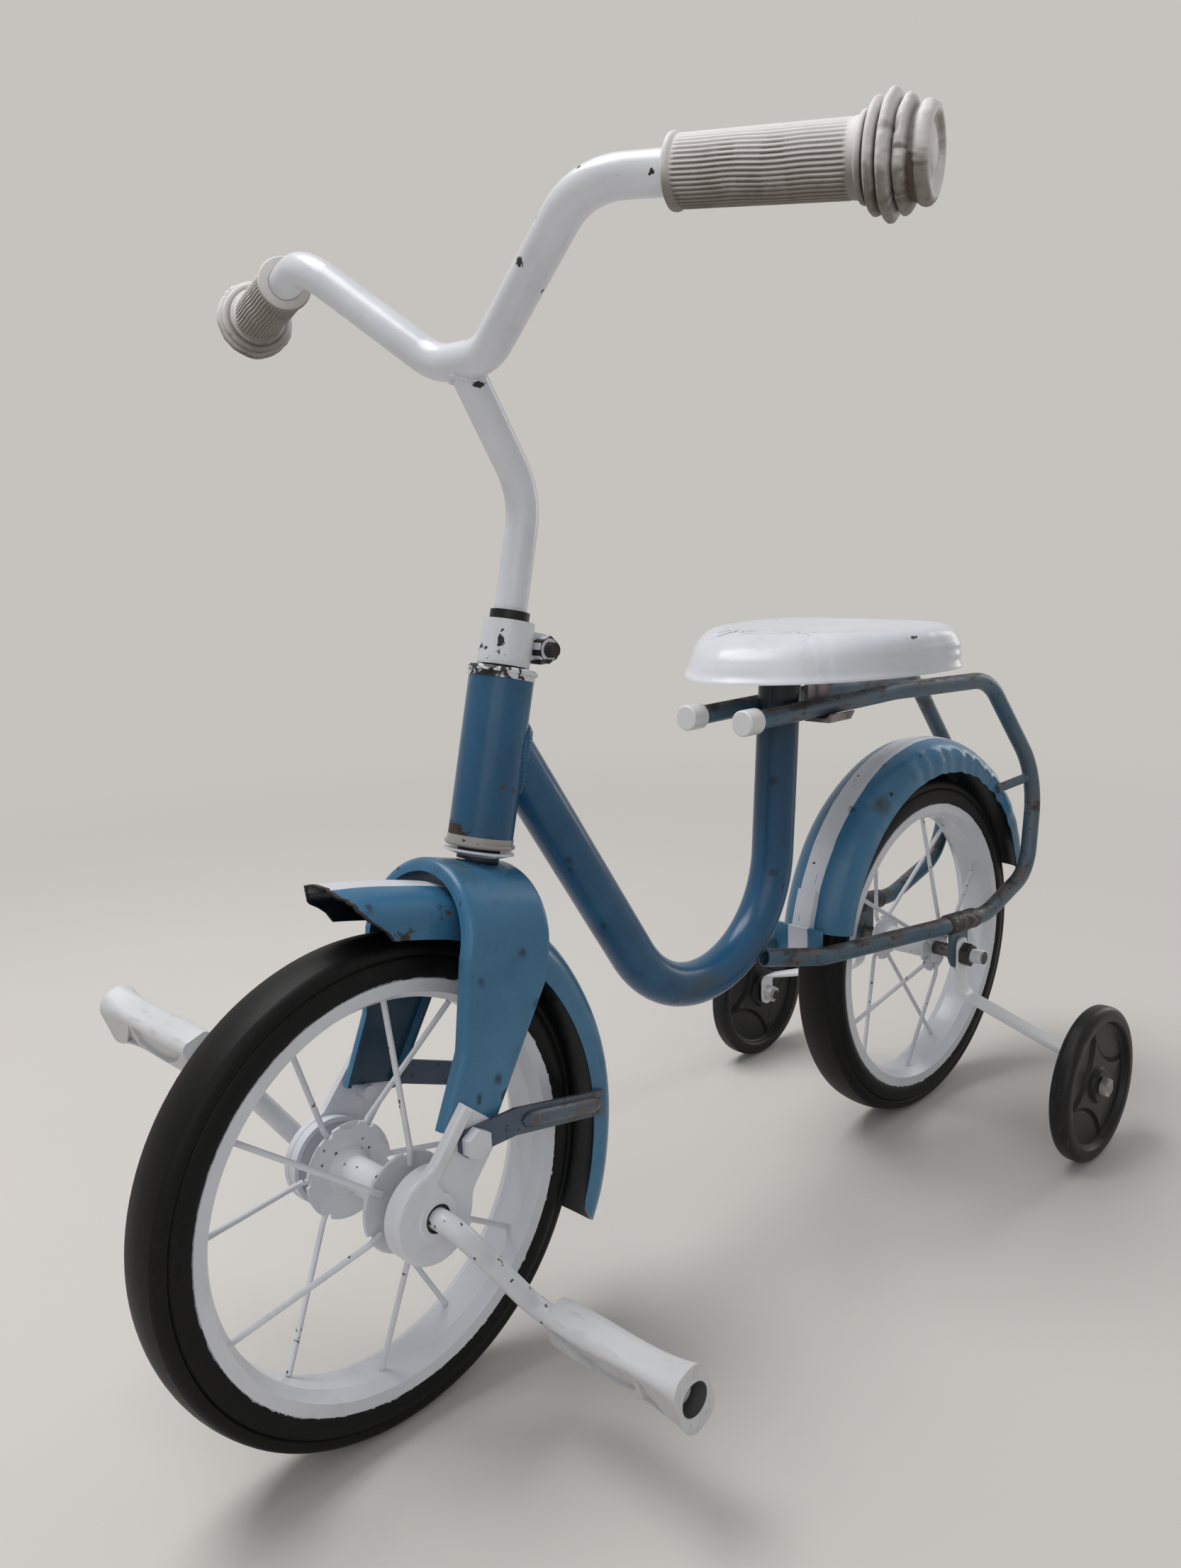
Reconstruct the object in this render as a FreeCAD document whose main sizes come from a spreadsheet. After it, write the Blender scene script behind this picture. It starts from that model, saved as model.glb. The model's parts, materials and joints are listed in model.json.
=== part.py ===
import FreeCAD, Part
import math
import os
import Sketcher

from FreeCAD import Placement, Rotation, Vector

# A small child's bicycle with pedals on the front wheel and two stabiliser wheels.
# Millimetres, +Z up, the rider faces -Y and the rider's left is +X.
# The origin is on the floor, under the middle of the whole bicycle.

SIZES = {
    "wheelbase": 493.3,
    "tyre_radius": 127.0,
    "tyre_half_width": 16.3,
    "tyre_crown_drop": 1.6,
    "tyre_crown_half_width": 11.0,
    "tyre_shoulder_drop": 8.0,
    "tyre_shoulder_half_width": 14.9,
    "tyre_groove": 0.8,
    "tyre_bead_half_width": 15.3,
    "rim_edge_radius": 107.0,
    "rim_half_width": 15.2,
    "rim_lip_radius": 100.5,
    "rim_base_radius": 96.5,
    "rim_base_half_width": 8.5,
    "rim_wall": 1.6,
    "rim_clearance": 0.1,
    "spoke_radius": 1.5,
    "spoke_outer_offset": 4.5,
    "spoke_count": 6,
    "spoke_turn": 25.2,
    "spoke_hook": 6.0,
    "spoke_end_gap": 0.5,
    "flange_wall": 2.0,
    "notch_radius": 2.4,
    "dent_depth": 0.9,
    "front_flange_radius": 25.4,
    "front_flange_offset": 24.7,
    "rear_flange_radius": 18.0,
    "rear_flange_offset": 22.0,
    "barrel_radius": 9.0,
    "barrel_cone": 4.0,
    "running_clearance": 0.05,
    "rod_radius": 5.4,
    "crank_length": 75.0,
    "crank_phase": 54.0,
    "crank_exit": 61.0,
    "crank_splay": 5.0,
    "crank_reach": 160.0,
    "crank_bend_radius": 12.0,
    "pedal_gap": 3.0,
    "pedal_length": 86.0,
    "pedal_inner_height": 21.0,
    "pedal_outer_height": 34.0,
    "pedal_inner_thickness": 17.0,
    "pedal_outer_thickness": 22.0,
    "pedal_tilt": 20.0,
    "pedal_mouth_radius": 8.0,
    "pedal_mouth_depth": 9.0,
    "pedal_scoop_depth": 2.0,
    "head_angle": 13.6,
    "head_length": 86.7,
    "head_radius": 16.8,
    "head_wall": 2.4,
    "cup_radius": 18.2,
    "cup_body_radius": 17.2,
    "cup_thickness": 5.5,
    "cup_flange": 2.6,
    "steerer_radius": 11.0,
    "neck_length": 6.5,
    "steerer_top": 112.0,
    "washer_radius": 18.3,
    "washer_wall": 1.2,
    "washer_dish": 2.2,
    "clamp_radius": 13.6,
    "clamp_bottom": 90.5,
    "clamp_height": 22.9,
    "clamp_gap": 0.1,
    "clamp_slit": 1.0,
    "collar_radius": 10.2,
    "collar_height": 6.4,
    "ear_radius": 8.0,
    "ear_reach": 18.6,
    "ear_half_width": 7.0,
    "clamp_bolt_radius": 3.9,
    "clamp_nut_width": 12.5,
    "clamp_nut_thickness": 6.0,
    "clamp_bolt_end": 4.0,
    "stem_radius": 8.5,
    "stem_bottom": 70.0,
    "stem_knee": 178.0,
    "stem_bend_radius": 42.0,
    "bar_radius": 9.0,
    "bar_wall": 1.6,
    "bar_rise": 236.1,
    "bar_back": 3.9,
    "bar_low_reach": 18.0,
    "bar_high_reach": 102.8,
    "bar_high_ahead": 18.0,
    "bar_high_rise": 58.5,
    "bar_end_reach": 232.0,
    "bar_end_back": 47.0,
    "bar_end_drop": 10.0,
    "bar_low_bend": 34.0,
    "bar_high_bend": 44.0,
    "grip_cover": 92.0,
    "grip_collar": 3.4,
    "grip_collar_radius": 14.6,
    "grip_radius": 13.9,
    "grip_outer_radius": 14.4,
    "grip_body_length": 75.0,
    "grip_length": 103.0,
    "grip_disc_radius": 22.3,
    "grip_end_wall": 3.0,
    "fork_half_width": 43.0,
    "fork_wall": 2.5,
    "fork_flange": 7.0,
    "fork_edge_radius": 4.5,
    "fork_front": 35.0,
    "fork_back": 20.0,
    "fork_shoulder": 55.0,
    "fork_leg_length": 126.0,
    "fork_foot_front": 36.0,
    "fork_foot_back": 2.0,
    "fork_rake": 37.6,
    "fork_tyre_gap": 37.1,
    "crown_drop": 9.6,
    "crown_bolt_radius": 6.0,
    "crown_bolt_length": 30.0,
    "fork_end_wall": 2.3,
    "fork_ridge": 2.7,
    "fork_boss": 0.7,
    "fork_boss_radius": 12.0,
    "fork_end_edge": 2.0,
    "fork_end_half_width": 16.0,
    "fork_end_blend": 14.0,
    "fork_fold": 8.8,
    "fork_cup_radius": 23.5,
    "fork_cup_depth": 5.5,
    "fork_cup_wall": 2.5,
    "fork_cup_step": 0.3,
    "fork_hole_radius": 7.2,
    "fork_end_lap": 9.0,
    "fork_bolt_share": 0.9,
    "fork_bolt_radius": 4.0,
    "fork_bolt_head": 13.5,
    "fork_bolt_head_height": 5.5,
    "fender_half_width": 25.0,
    "fender_skirt": 6.0,
    "fender_crown": 18.0,
    "fender_wall": 1.2,
    "front_fender_gap": 25.0,
    "front_fender_lift": 75.0,
    "front_fender_lift_radius": 400.0,
    "front_fender_lift_turn": 10.0,
    "front_fender_tail": -28.0,
    "rear_fender_gap": 16.0,
    "rear_fender_shift": 3.0,
    "rear_fender_rise": 13.0,
    "rear_fender_nose": 168.0,
    "rear_fender_tail": 7.5,
    "bridge_setback": 143.0,
    "bridge_half_width": 19.0,
    "bridge_wall": 3.0,
    "bridge_tab_width": 14.0,
    "bridge_tab_top": 157.0,
    "bridge_tab_turn": 15.0,
    "bridge_height": 22.0,
    "stay_width": 14.0,
    "stay_wall": 2.0,
    "stay_corner": 4.0,
    "stay_straight": 28.0,
    "stay_nose": 8.0,
    "stay_fall": 5.0,
    "main_tube_radius": 13.5,
    "main_tube_wall": 1.8,
    "main_bend_share": 0.306,
    "main_apex_setback": 187.0,
    "main_apex_height": 19.0,
    "down_tube_join": 58.4,
    "seat_tube_setback": 160.5,
    "seat_tube_rise": 20.0,
    "loop_radius": 6.0,
    "loop_wall": 1.2,
    "loop_half_width": 40.0,
    "loop_back_reach": 118.0,
    "loop_low_rise": 25.0,
    "loop_front_reach": 192.0,
    "loop_end_half_gap": 9.5,
    "rail_rise": 42.0,
    "rail_half_gap": 21.9,
    "rail_front": 226.0,
    "stub_radius": 3.5,
    "axle_lug_radius": 11.5,
    "axle_lug_inner": 1.0,
    "axle_lug_wall": 2.1,
    "cap_radius": 8.0,
    "cap_length": 13.0,
    "cap_end": 2.0,
    "cap_edge": 1.2,
    "seat_length": 180.0,
    "seat_front": 225.0,
    "seat_half_width": 85.0,
    "seat_nose_half_width": 36.0,
    "seat_rise": 22.0,
    "seat_height": 29.0,
    "seat_wall": 1.2,
    "bracket_width": 24.0,
    "bracket_wall": 2.5,
    "bracket_setback": 140.0,
    "bracket_foot": 14.0,
    "bracket_lip": 3.0,
    "axle_radius": 4.9,
    "axle_tip_radius": 4.6,
    "axle_half_length": 62.0,
    "nut_width": 15.0,
    "nut_thickness": 7.0,
    "arm_width": 13.5,
    "arm_wall": 3.0,
    "arm_top": 12.0,
    "arm_knee_drop": 30.0,
    "arm_slope_drop": 28.0,
    "stabiliser_half_track": 144.8,
    "stabiliser_radius": 54.4,
    "stabiliser_half_width": 7.2,
    "stabiliser_edge": 4.0,
    "stabiliser_rim": 9.0,
    "stabiliser_web": 3.2,
    "stabiliser_hub_radius": 11.0,
    "stabiliser_arms": 4,
    "stabiliser_bolt_radius": 4.0,
    "stabiliser_bolt_head": 12.0,
    "stabiliser_head_height": 4.5,
    "stabiliser_nut_height": 6.0,
    "seat_gap": 0.3,
    "fit_gap": 0.05,
}


class Size(float):
    """A number that keeps the sheet expression it was worked out from."""

    def __new__(cls, number, text):
        made = super().__new__(cls, number)
        made.text = text
        return made

    def __add__(self, other):
        return Size(float(self) + float(other), f"({self.text} + {text_of(other)})")

    def __sub__(self, other):
        return Size(float(self) - float(other), f"({self.text} - {text_of(other)})")

    def __mul__(self, other):
        return Size(float(self) * float(other), f"({self.text} * {text_of(other)})")

    def __truediv__(self, other):
        return Size(float(self) / float(other), f"({self.text} / {text_of(other)})")

    def __neg__(self):
        return Size(-float(self), f"(-1 * {self.text})")


def text_of(number):
    return number.text if isinstance(number, Size) else f"({float(number)!r})"


def cosine(degrees):
    return Size(math.cos(math.radians(degrees)), f"cos({degrees.text})")


def sine(degrees):
    return Size(math.sin(math.radians(degrees)), f"sin({degrees.text})")


def root(number):
    return Size(math.sqrt(number), f"sqrt({number.text})")


document = FreeCAD.newDocument("ChildsBicycle")
sheet = document.addObject("Spreadsheet::Sheet", "Sizes")
for row, (alias, number) in enumerate(SIZES.items(), start=1):
    sheet.set(f"A{row}", alias)
    sheet.set(f"B{row}", str(number))
    sheet.setAlias(f"B{row}", alias)
document.recompute()

S = {alias: Size(sheet.get(alias), f"Sizes.{alias}") for alias in SIZES}
ZERO = Size(0.0, "0")
HEXAGON_CORNERS = math.sqrt(3)
NODES = []

FRONT_FENDER_RADIUS = S["tyre_radius"] + S["front_fender_gap"]
REAR_FENDER_RADIUS = S["tyre_radius"] + S["rear_fender_gap"]

# The whole length runs from the front tyre to the back of the rear fender.
FRONT_REACH = S["wheelbase"] + S["tyre_radius"]
REAR_REACH = S["rear_fender_shift"] + REAR_FENDER_RADIUS * cosine(S["rear_fender_tail"])
REAR_Y = (FRONT_REACH - REAR_REACH) / 2
FRONT_Y = REAR_Y - S["wheelbase"]
AXLE_Z = S["tyre_radius"]

# The head tube's foot stands over the front axle by the fork's length and rake.
LEAN_SINE = sine(S["head_angle"])
LEAN_COSINE = cosine(S["head_angle"])
FORK_DROP = S["crown_drop"] + S["tyre_radius"] + S["fork_tyre_gap"]
FOOT_Y = FRONT_Y + FORK_DROP * LEAN_SINE + S["fork_rake"] * LEAN_COSINE
FOOT_Z = AXLE_Z + FORK_DROP * LEAN_COSINE - S["fork_rake"] * LEAN_SINE

# The carrier rails clear the rear fender, and the seat stands on the rails.
RAIL_Z = AXLE_Z + S["rear_fender_rise"] + REAR_FENDER_RADIUS + S["rail_rise"]
LOOP_LOW_Z = AXLE_Z + S["loop_low_rise"]
SEAT_RIM_Z = RAIL_Z + S["seat_rise"]
SEAT_TUBE_TOP_Z = RAIL_Z + S["seat_tube_rise"]

ALONG_X = Rotation(Vector(0, 1, 0), 90)
ALONG_Y = Rotation(Vector(1, 0, 0), -90)
STEERING_TILT = Rotation(Vector(1, 0, 0), -S["head_angle"])
X_AXIS = Vector(1, 0, 0)
Y_AXIS = Vector(0, 1, 0)
Z_AXIS = Vector(0, 0, 1)
FRONT_HUB = Vector(0, FRONT_Y, AXLE_Z)
REAR_HUB = Vector(0, REAR_Y, AXLE_Z)


def node(thing, name):
    """Name a finished sub-part, which also names its file."""
    thing.Label = name
    NODES.append(thing)
    return thing


def bind(thing, **sizes):
    for key, size in sizes.items():
        thing.setExpression(key, size.text)
    return thing


def place(thing, x, y, z, rotation=Rotation()):
    thing.Placement = Placement(Vector(x, y, z), rotation)
    for key, size in (("x", x), ("y", y), ("z", z)):
        if isinstance(size, Size):
            thing.setExpression(f"Placement.Base.{key}", size.text)
    return thing


def steering_spot(along, ahead=ZERO):
    """Where a point of the steering axis, or ahead of it, lies in Y and Z."""
    y = FOOT_Y + along * LEAN_SINE - ahead * LEAN_COSINE
    z = FOOT_Z + along * LEAN_COSINE + ahead * LEAN_SINE
    return y, z


def on_steering(along, ahead=ZERO):
    return Vector(0, *steering_spot(along, ahead))


def origin_plane(body, role):
    return next(item for item in body.Origin.OriginFeatures if item.Role == role)


def new_body(name):
    return document.addObject("PartDesign::Body", name)


def new_sketch(body, role, name):
    sketch = body.newObject("Sketcher::SketchObject", name)
    sketch.AttachmentSupport = [(origin_plane(body, role), "")]
    sketch.MapMode = "FlatFace"
    sketch.Visibility = False
    return sketch


def fix_point(sketch, shape, end, x, y):
    """Hold one point of a sketch at two sizes."""
    for kind, size, other_axis in (("DistanceX", x, -2), ("DistanceY", y, -1)):
        if abs(float(size)) < 1e-9:
            sketch.addConstraint(Sketcher.Constraint("PointOnObject", shape, end, other_axis))
            continue
        index = sketch.addConstraint(Sketcher.Constraint(kind, -1, 1, shape, end, float(size)))
        if isinstance(size, Size):
            sketch.setExpression(f"Constraints[{index}]", size.text)


def circle(sketch, x, y, radius):
    shape = sketch.addGeometry(Part.Circle(Vector(x, y, 0), Z_AXIS, radius), False)
    fix_point(sketch, shape, 3, x, y)
    index = sketch.addConstraint(Sketcher.Constraint("Radius", shape, float(radius)))
    if isinstance(radius, Size):
        sketch.setExpression(f"Constraints[{index}]", radius.text)


def add_arc(sketch, start, middle, finish):
    """Add an arc. A sketch keeps arcs anticlockwise, so its ends may have to be swapped."""
    turned = (middle - start).cross(finish - middle).z < 0
    first, last = (finish, start) if turned else (start, finish)
    shape = sketch.addGeometry(Part.Arc(first, middle, last), False)
    begin_end, finish_end = (2, 1) if turned else (1, 2)
    return shape, begin_end, finish_end


def outline(sketch, corners):
    """Draw a closed outline. A corner is (x, y), or (x, y, mid_x, mid_y) after an arc."""
    previous = corners[-1]
    first_shape = None
    last_shape = None
    for corner in corners:
        start = Vector(previous[0], previous[1], 0)
        finish = Vector(corner[0], corner[1], 0)
        if len(corner) == 4:
            middle = Vector(corner[2], corner[3], 0)
            shape, begin_end, finish_end = add_arc(sketch, start, middle, finish)
            point = sketch.addGeometry(Part.Point(middle), True)
            fix_point(sketch, point, 1, corner[2], corner[3])
            sketch.addConstraint(Sketcher.Constraint("PointOnObject", point, 1, shape))
        else:
            shape = sketch.addGeometry(Part.LineSegment(start, finish), False)
            begin_end, finish_end = 1, 2
        if last_shape is not None:
            sketch.addConstraint(
                Sketcher.Constraint("Coincident", last_shape[0], last_shape[1], shape, begin_end)
            )
        else:
            first_shape = (shape, begin_end)
        last_shape = (shape, finish_end)
        fix_point(sketch, shape, finish_end, corner[0], corner[1])
        previous = corner
    sketch.addConstraint(Sketcher.Constraint("Coincident", *last_shape, *first_shape))


def draw(sketch, loops):
    """Each loop is a list of corners, or (x, y, radius) for a circle."""
    for loop in loops:
        if isinstance(loop, tuple):
            circle(sketch, *loop)
        else:
            outline(sketch, loop)


def slab(body, name, role, loops, low, high, cutting=False):
    """Add or cut an outline between two heights over one of the body's planes."""
    sketch = new_sketch(body, role, f"{name}_outline")
    draw(sketch, loops)
    sketch.AttachmentOffset = Placement(Vector(0, 0, low), Rotation())
    if isinstance(low, Size):
        sketch.setExpression("AttachmentOffset.Base.z", low.text)
    kind = "PartDesign::Pocket" if cutting else "PartDesign::Pad"
    feature = body.newObject(kind, name)
    feature.Profile = sketch
    feature.Reversed = cutting
    bind(feature, Length=Size(float(high), text_of(high)) - low)
    body.Tip = feature
    return feature


def cut_slab(body, name, role, loops, low, high):
    return slab(body, name, role, loops, low, high, True)


def drill(body, name, radius, length, base, direction):
    """Bore a round hole from a point."""
    tool = body.newObject("PartDesign::SubtractiveCylinder", name)
    bind(tool, Radius=radius, Height=length)
    tool.Placement = Placement(base, Rotation(Z_AXIS, direction))
    body.Tip = tool


def repeat_round(body, feature, name, count):
    """Repeat a feature round the axis of its own sketch."""
    pattern = body.newObject("PartDesign::PolarPattern", name)
    pattern.Originals = [feature]
    pattern.Axis = (feature.Profile[0], ["N_Axis"])
    pattern.Angle = 360
    bind(pattern, Occurrences=count)
    body.Tip = pattern


def round_edges(body, name, radius, wanted):
    """Round the edges whose inner points all pass a test."""
    document.recompute()
    solid = body.Tip
    names = []
    for index, edge in enumerate(solid.Shape.Edges, start=1):
        span = edge.LastParameter - edge.FirstParameter
        points = [edge.valueAt(edge.FirstParameter + span * step / 6) for step in range(1, 6)]
        if wanted(points):
            names.append(f"Edge{index}")
    fillet = body.newObject("PartDesign::Fillet", name)
    fillet.Base = (solid, names)
    bind(fillet, Radius=radius)
    body.Tip = fillet


def turned_body(name, corners):
    """A body turned about its own Z. Corners are (radius, along)."""
    body = new_body(name)
    sketch = new_sketch(body, "XZ_Plane", f"{name}_outline")
    outline(sketch, corners)
    turning = body.newObject("PartDesign::Revolution", f"{name}_turning")
    turning.Profile = sketch
    turning.ReferenceAxis = (sketch, ["V_Axis"])
    turning.Angle = 360
    body.Tip = turning
    return body


def ring(name, inner, outer, low, high):
    return turned_body(name, [(inner, low), (outer, low), (outer, high), (inner, high)])


def stacked_body(name, pieces):
    """Rods and hexagons along the body's Z, each (kind, radius or flat width, low, high)."""
    body = new_body(name)
    for index, (kind, across, low, high) in enumerate(pieces, start=1):
        if kind == "hexagon":
            piece = body.newObject("PartDesign::AdditivePrism", f"{name}_hexagon_{index}")
            piece.Polygon = 6
            bind(piece, Circumradius=across / HEXAGON_CORNERS)
        else:
            piece = body.newObject("PartDesign::AdditiveCylinder", f"{name}_rod_{index}")
            bind(piece, Radius=across)
        bind(piece, Height=high - low)
        piece.Placement = Placement(Vector(0, 0, low), Rotation())
        if isinstance(low, Size):
            piece.setExpression("Placement.Base.z", low.text)
        body.Tip = piece
    return body


def path_sketch(body, role, name, points, radii):
    """An open line of straight runs and tangent arcs, held at its corners by sizes."""
    sketch = new_sketch(body, role, name)
    corners = [Vector(point[0], point[1], 0) for point in points]
    start = corners[0]
    lines = []
    arcs = []
    for index in range(1, len(corners) - 1):
        enter, middle, leave = arc_at(corners, index, radii[index - 1])
        lines.append(sketch.addGeometry(Part.LineSegment(start, enter), False))
        arcs.append(add_arc(sketch, enter, middle, leave))
        start = leave
    lines.append(sketch.addGeometry(Part.LineSegment(start, corners[-1]), False))
    for index, (arc, near_end, far_end) in enumerate(arcs):
        sketch.addConstraint(Sketcher.Constraint("Tangent", lines[index], 2, arc, near_end))
        sketch.addConstraint(Sketcher.Constraint("Tangent", arc, far_end, lines[index + 1], 1))
        radius = sketch.addConstraint(Sketcher.Constraint("Radius", arc, float(radii[index])))
        sketch.setExpression(f"Constraints[{radius}]", radii[index].text)
        corner = sketch.addGeometry(Part.Point(corners[index + 1]), True)
        sketch.addConstraint(Sketcher.Constraint("PointOnObject", corner, 1, lines[index]))
        sketch.addConstraint(Sketcher.Constraint("PointOnObject", corner, 1, lines[index + 1]))
        fix_point(sketch, corner, 1, *points[index + 1])
    fix_point(sketch, lines[0], 1, *points[0])
    fix_point(sketch, lines[-1], 2, *points[-1])
    return sketch


def arc_at(corners, index, radius):
    """Start, middle and end of the arc that rounds one corner of a path."""
    corner = corners[index]
    back = (corners[index - 1] - corner).normalize()
    ahead = (corners[index + 1] - corner).normalize()
    half_turn = (math.pi - back.getAngle(ahead)) / 2
    cut = radius * math.tan(half_turn)
    to_centre = (back + ahead).normalize()
    centre = corner + to_centre * (radius / math.cos(half_turn))
    return corner + back * cut, centre - to_centre * radius, corner + ahead * cut


def piped_body(name, role, points, radii, radii_of_section):
    """A round bar or tube bent along a flat path."""
    body = new_body(name)
    path = path_sketch(body, role, f"{name}_path", points, radii)
    document.recompute()
    section = body.newObject("Sketcher::SketchObject", f"{name}_section")
    section.AttachmentSupport = [(path, "Edge1")]
    section.MapMode = "NormalToEdge"
    section.MapPathParameter = 0.0
    section.Visibility = False
    for radius in radii_of_section:
        circle(section, ZERO, ZERO, radius)
    document.recompute()
    pipe = body.newObject("PartDesign::AdditivePipe", f"{name}_pipe")
    pipe.Profile = section
    pipe.Spine = (path, [f"Edge{index + 1}" for index in range(len(path.Shape.Edges))])
    body.Tip = pipe
    return body


def shape_feature(name, shape):
    thing = document.addObject("Part::Feature", name)
    thing.Shape = shape
    return thing


def bent_path(points, radii):
    """Straight runs joined by tangent arcs in space, one radius for each inner point."""
    edges = []
    start = points[0]
    for index in range(1, len(points) - 1):
        enter, middle, leave = arc_at(points, index, radii[index - 1])
        if (enter - start).Length > 1e-4:
            edges.append(Part.LineSegment(start, enter).toShape())
        edges.append(Part.Arc(enter, middle, leave).toShape())
        start = leave
    edges.append(Part.LineSegment(start, points[-1]).toShape())
    return Part.Wire(edges)


def swept_rod(path, radius):
    first = path.Edges[0]
    start = first.valueAt(first.FirstParameter)
    direction = first.tangentAt(first.FirstParameter)
    section = Part.Wire([Part.Circle(start, direction, radius).toShape()])
    return path.makePipeShell([section], True, False)


def rod(start, finish, radius):
    return Part.makeCylinder(radius, (finish - start).Length, start, finish - start)


def mirror_image(name, source, y=ZERO, z=ZERO):
    """The same piece on the rider's right, moved along Y and Z where it needs to be."""
    image = document.addObject("Part::Mirroring", name)
    image.Source = source
    image.Normal = X_AXIS
    image.Base = Vector(0, 0, 0)
    return node(place(image, ZERO, y, z), name)


def both_sides(left, name):
    node(left, f"{name}_left")
    mirror_image(f"{name}_right", left)


# Wheels


def tyre(side, centre_y):
    crown = S["tyre_radius"]
    edge_of_crown = crown - S["tyre_crown_drop"]
    shoulder = crown - S["tyre_shoulder_drop"]
    groove = S["tyre_groove"]
    rim_top = S["rim_edge_radius"] + S["rim_clearance"]
    belly = (shoulder + rim_top) / 2
    wide = S["tyre_half_width"]
    flat = S["tyre_crown_half_width"]
    shoulder_wide = S["tyre_shoulder_half_width"]
    round_y = (edge_of_crown + shoulder) / 2 + groove
    round_x = (flat + shoulder_wide) / 2 + groove
    bead_wide = S["tyre_bead_half_width"]
    inner_half = S["rim_half_width"] - S["rim_wall"] - S["rim_clearance"]
    bed = S["rim_base_radius"] + S["rim_wall"] + S["rim_clearance"]
    lip = S["rim_lip_radius"] + S["rim_wall"]
    base_half = S["rim_base_half_width"]
    body = turned_body(
        f"{side}_tyre",
        [
            (edge_of_crown, -flat, round_y, -round_x),
            (edge_of_crown, flat, crown, ZERO),
            (shoulder, shoulder_wide, round_y, round_x),
            (shoulder - groove, shoulder_wide - groove),
            (shoulder - groove * 2, shoulder_wide),
            (rim_top + groove, bead_wide, belly, wide),
            (rim_top, bead_wide - groove),
            (rim_top, inner_half),
            (lip, inner_half),
            (bed, base_half),
            (bed, -base_half),
            (lip, -inner_half),
            (rim_top, -inner_half),
            (rim_top, -(bead_wide - groove)),
            (rim_top + groove, -bead_wide),
            (shoulder - groove * 2, -shoulder_wide, belly, -wide),
            (shoulder - groove, -(shoulder_wide - groove)),
            (shoulder, -shoulder_wide),
        ],
    )
    node(place(body, ZERO, centre_y, AXLE_Z, ALONG_X), f"{side}_tyre")


def rim(side, centre_y):
    edge = S["rim_edge_radius"]
    lip = S["rim_lip_radius"]
    base = S["rim_base_radius"]
    wall = S["rim_wall"]
    outer_half = S["rim_half_width"]
    wall_half = outer_half - wall
    base_half = S["rim_base_half_width"]
    body = turned_body(
        f"{side}_rim",
        [
            (edge, -outer_half),
            (lip, -outer_half),
            (base, -base_half),
            (base, base_half),
            (lip, outer_half),
            (edge, outer_half),
            (edge, wall_half),
            (lip + wall, wall_half),
            (base + wall, base_half),
            (base + wall, -base_half),
            (lip + wall, -wall_half),
            (edge, -wall_half),
        ],
    )
    node(place(body, ZERO, centre_y, AXLE_Z, ALONG_X), f"{side}_rim")


def hub(side, centre_y, flange_offset, flange_radius, bore_radius):
    """A barrel between two rolled flanges, notched and dented for hooked spokes."""
    inside = flange_offset - S["flange_wall"]
    middle = flange_offset - S["flange_wall"] / 2
    edge = flange_radius - S["flange_wall"] / 2
    barrel = S["barrel_radius"]
    cone = S["barrel_cone"]
    body = turned_body(
        f"{side}_hub",
        [
            (bore_radius, -flange_offset),
            (edge, -flange_offset),
            (edge, -inside, flange_radius, -middle),
            (barrel + cone, -inside),
            (barrel, cone - inside),
            (barrel, inside - cone),
            (barrel + cone, inside),
            (edge, inside),
            (edge, flange_offset, flange_radius, middle),
            (bore_radius, flange_offset),
        ],
    )
    count = S["spoke_count"]
    half_step = Size(180.0, "180") / count
    notch_x = flange_radius
    dent_centre = flange_radius * 1.22
    dent_radius = flange_radius * 0.354
    past = flange_offset + S["spoke_hook"]
    dent_floor = inside + S["dent_depth"]
    for flange, sign in (("near", 1), ("far", -1)):
        if sign > 0:
            notch_spot = (notch_x, ZERO, S["notch_radius"])
            dent_spot = (dent_centre * cosine(half_step), dent_centre * sine(half_step), dent_radius)
        else:
            notch_spot = (notch_x * cosine(half_step), notch_x * sine(half_step), S["notch_radius"])
            dent_spot = (dent_centre, ZERO, dent_radius)
        for kind, spot, depth in (("notch", notch_spot, past), ("dent", dent_spot, dent_floor)):
            low, high = (ZERO, depth) if sign > 0 else (-depth, ZERO)
            cut = cut_slab(body, f"{side}_{flange}_{kind}", "XY_Plane", [spot], low, high)
            repeat_round(body, cut, f"{side}_{flange}_{kind}s", count)
    turn = ALONG_X.multiply(Rotation(Z_AXIS, 90 + S["spoke_turn"]))
    node(place(body, ZERO, centre_y, AXLE_Z, turn), f"{side}_hub")


def spokes(side, centre_y, flange_offset, flange_radius):
    """Two sets of spokes, hooked over the edges of the flanges."""
    count = int(S["spoke_count"])
    centre = Vector(0, centre_y, AXLE_Z)
    thick = S["spoke_radius"]
    rods = []
    for across, turn in ((1, 0.0), (-1, 180 / count)):
        for index in range(count):
            angle = math.radians(S["spoke_turn"] + turn + 360 * index / count)
            outward = Vector(0, math.cos(angle), math.sin(angle))
            hook_x = across * (flange_offset + thick + S["seat_gap"])
            hook = centre + outward * (flange_radius - S["spoke_hook"]) + X_AXIS * hook_x
            over_x = across * (flange_offset + thick + S["seat_gap"])
            over = centre + outward * (flange_radius + thick) + X_AXIS * over_x
            tip_radius = S["rim_base_radius"] - S["spoke_end_gap"]
            tip = centre + outward * tip_radius + X_AXIS * (across * S["spoke_outer_offset"])
            path = bent_path([hook, over, tip], [thick * 1.4])
            rods.append(swept_rod(path, thick))
    node(shape_feature(f"{side}_spokes", Part.makeCompound(rods)), f"{side}_spokes")


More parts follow.
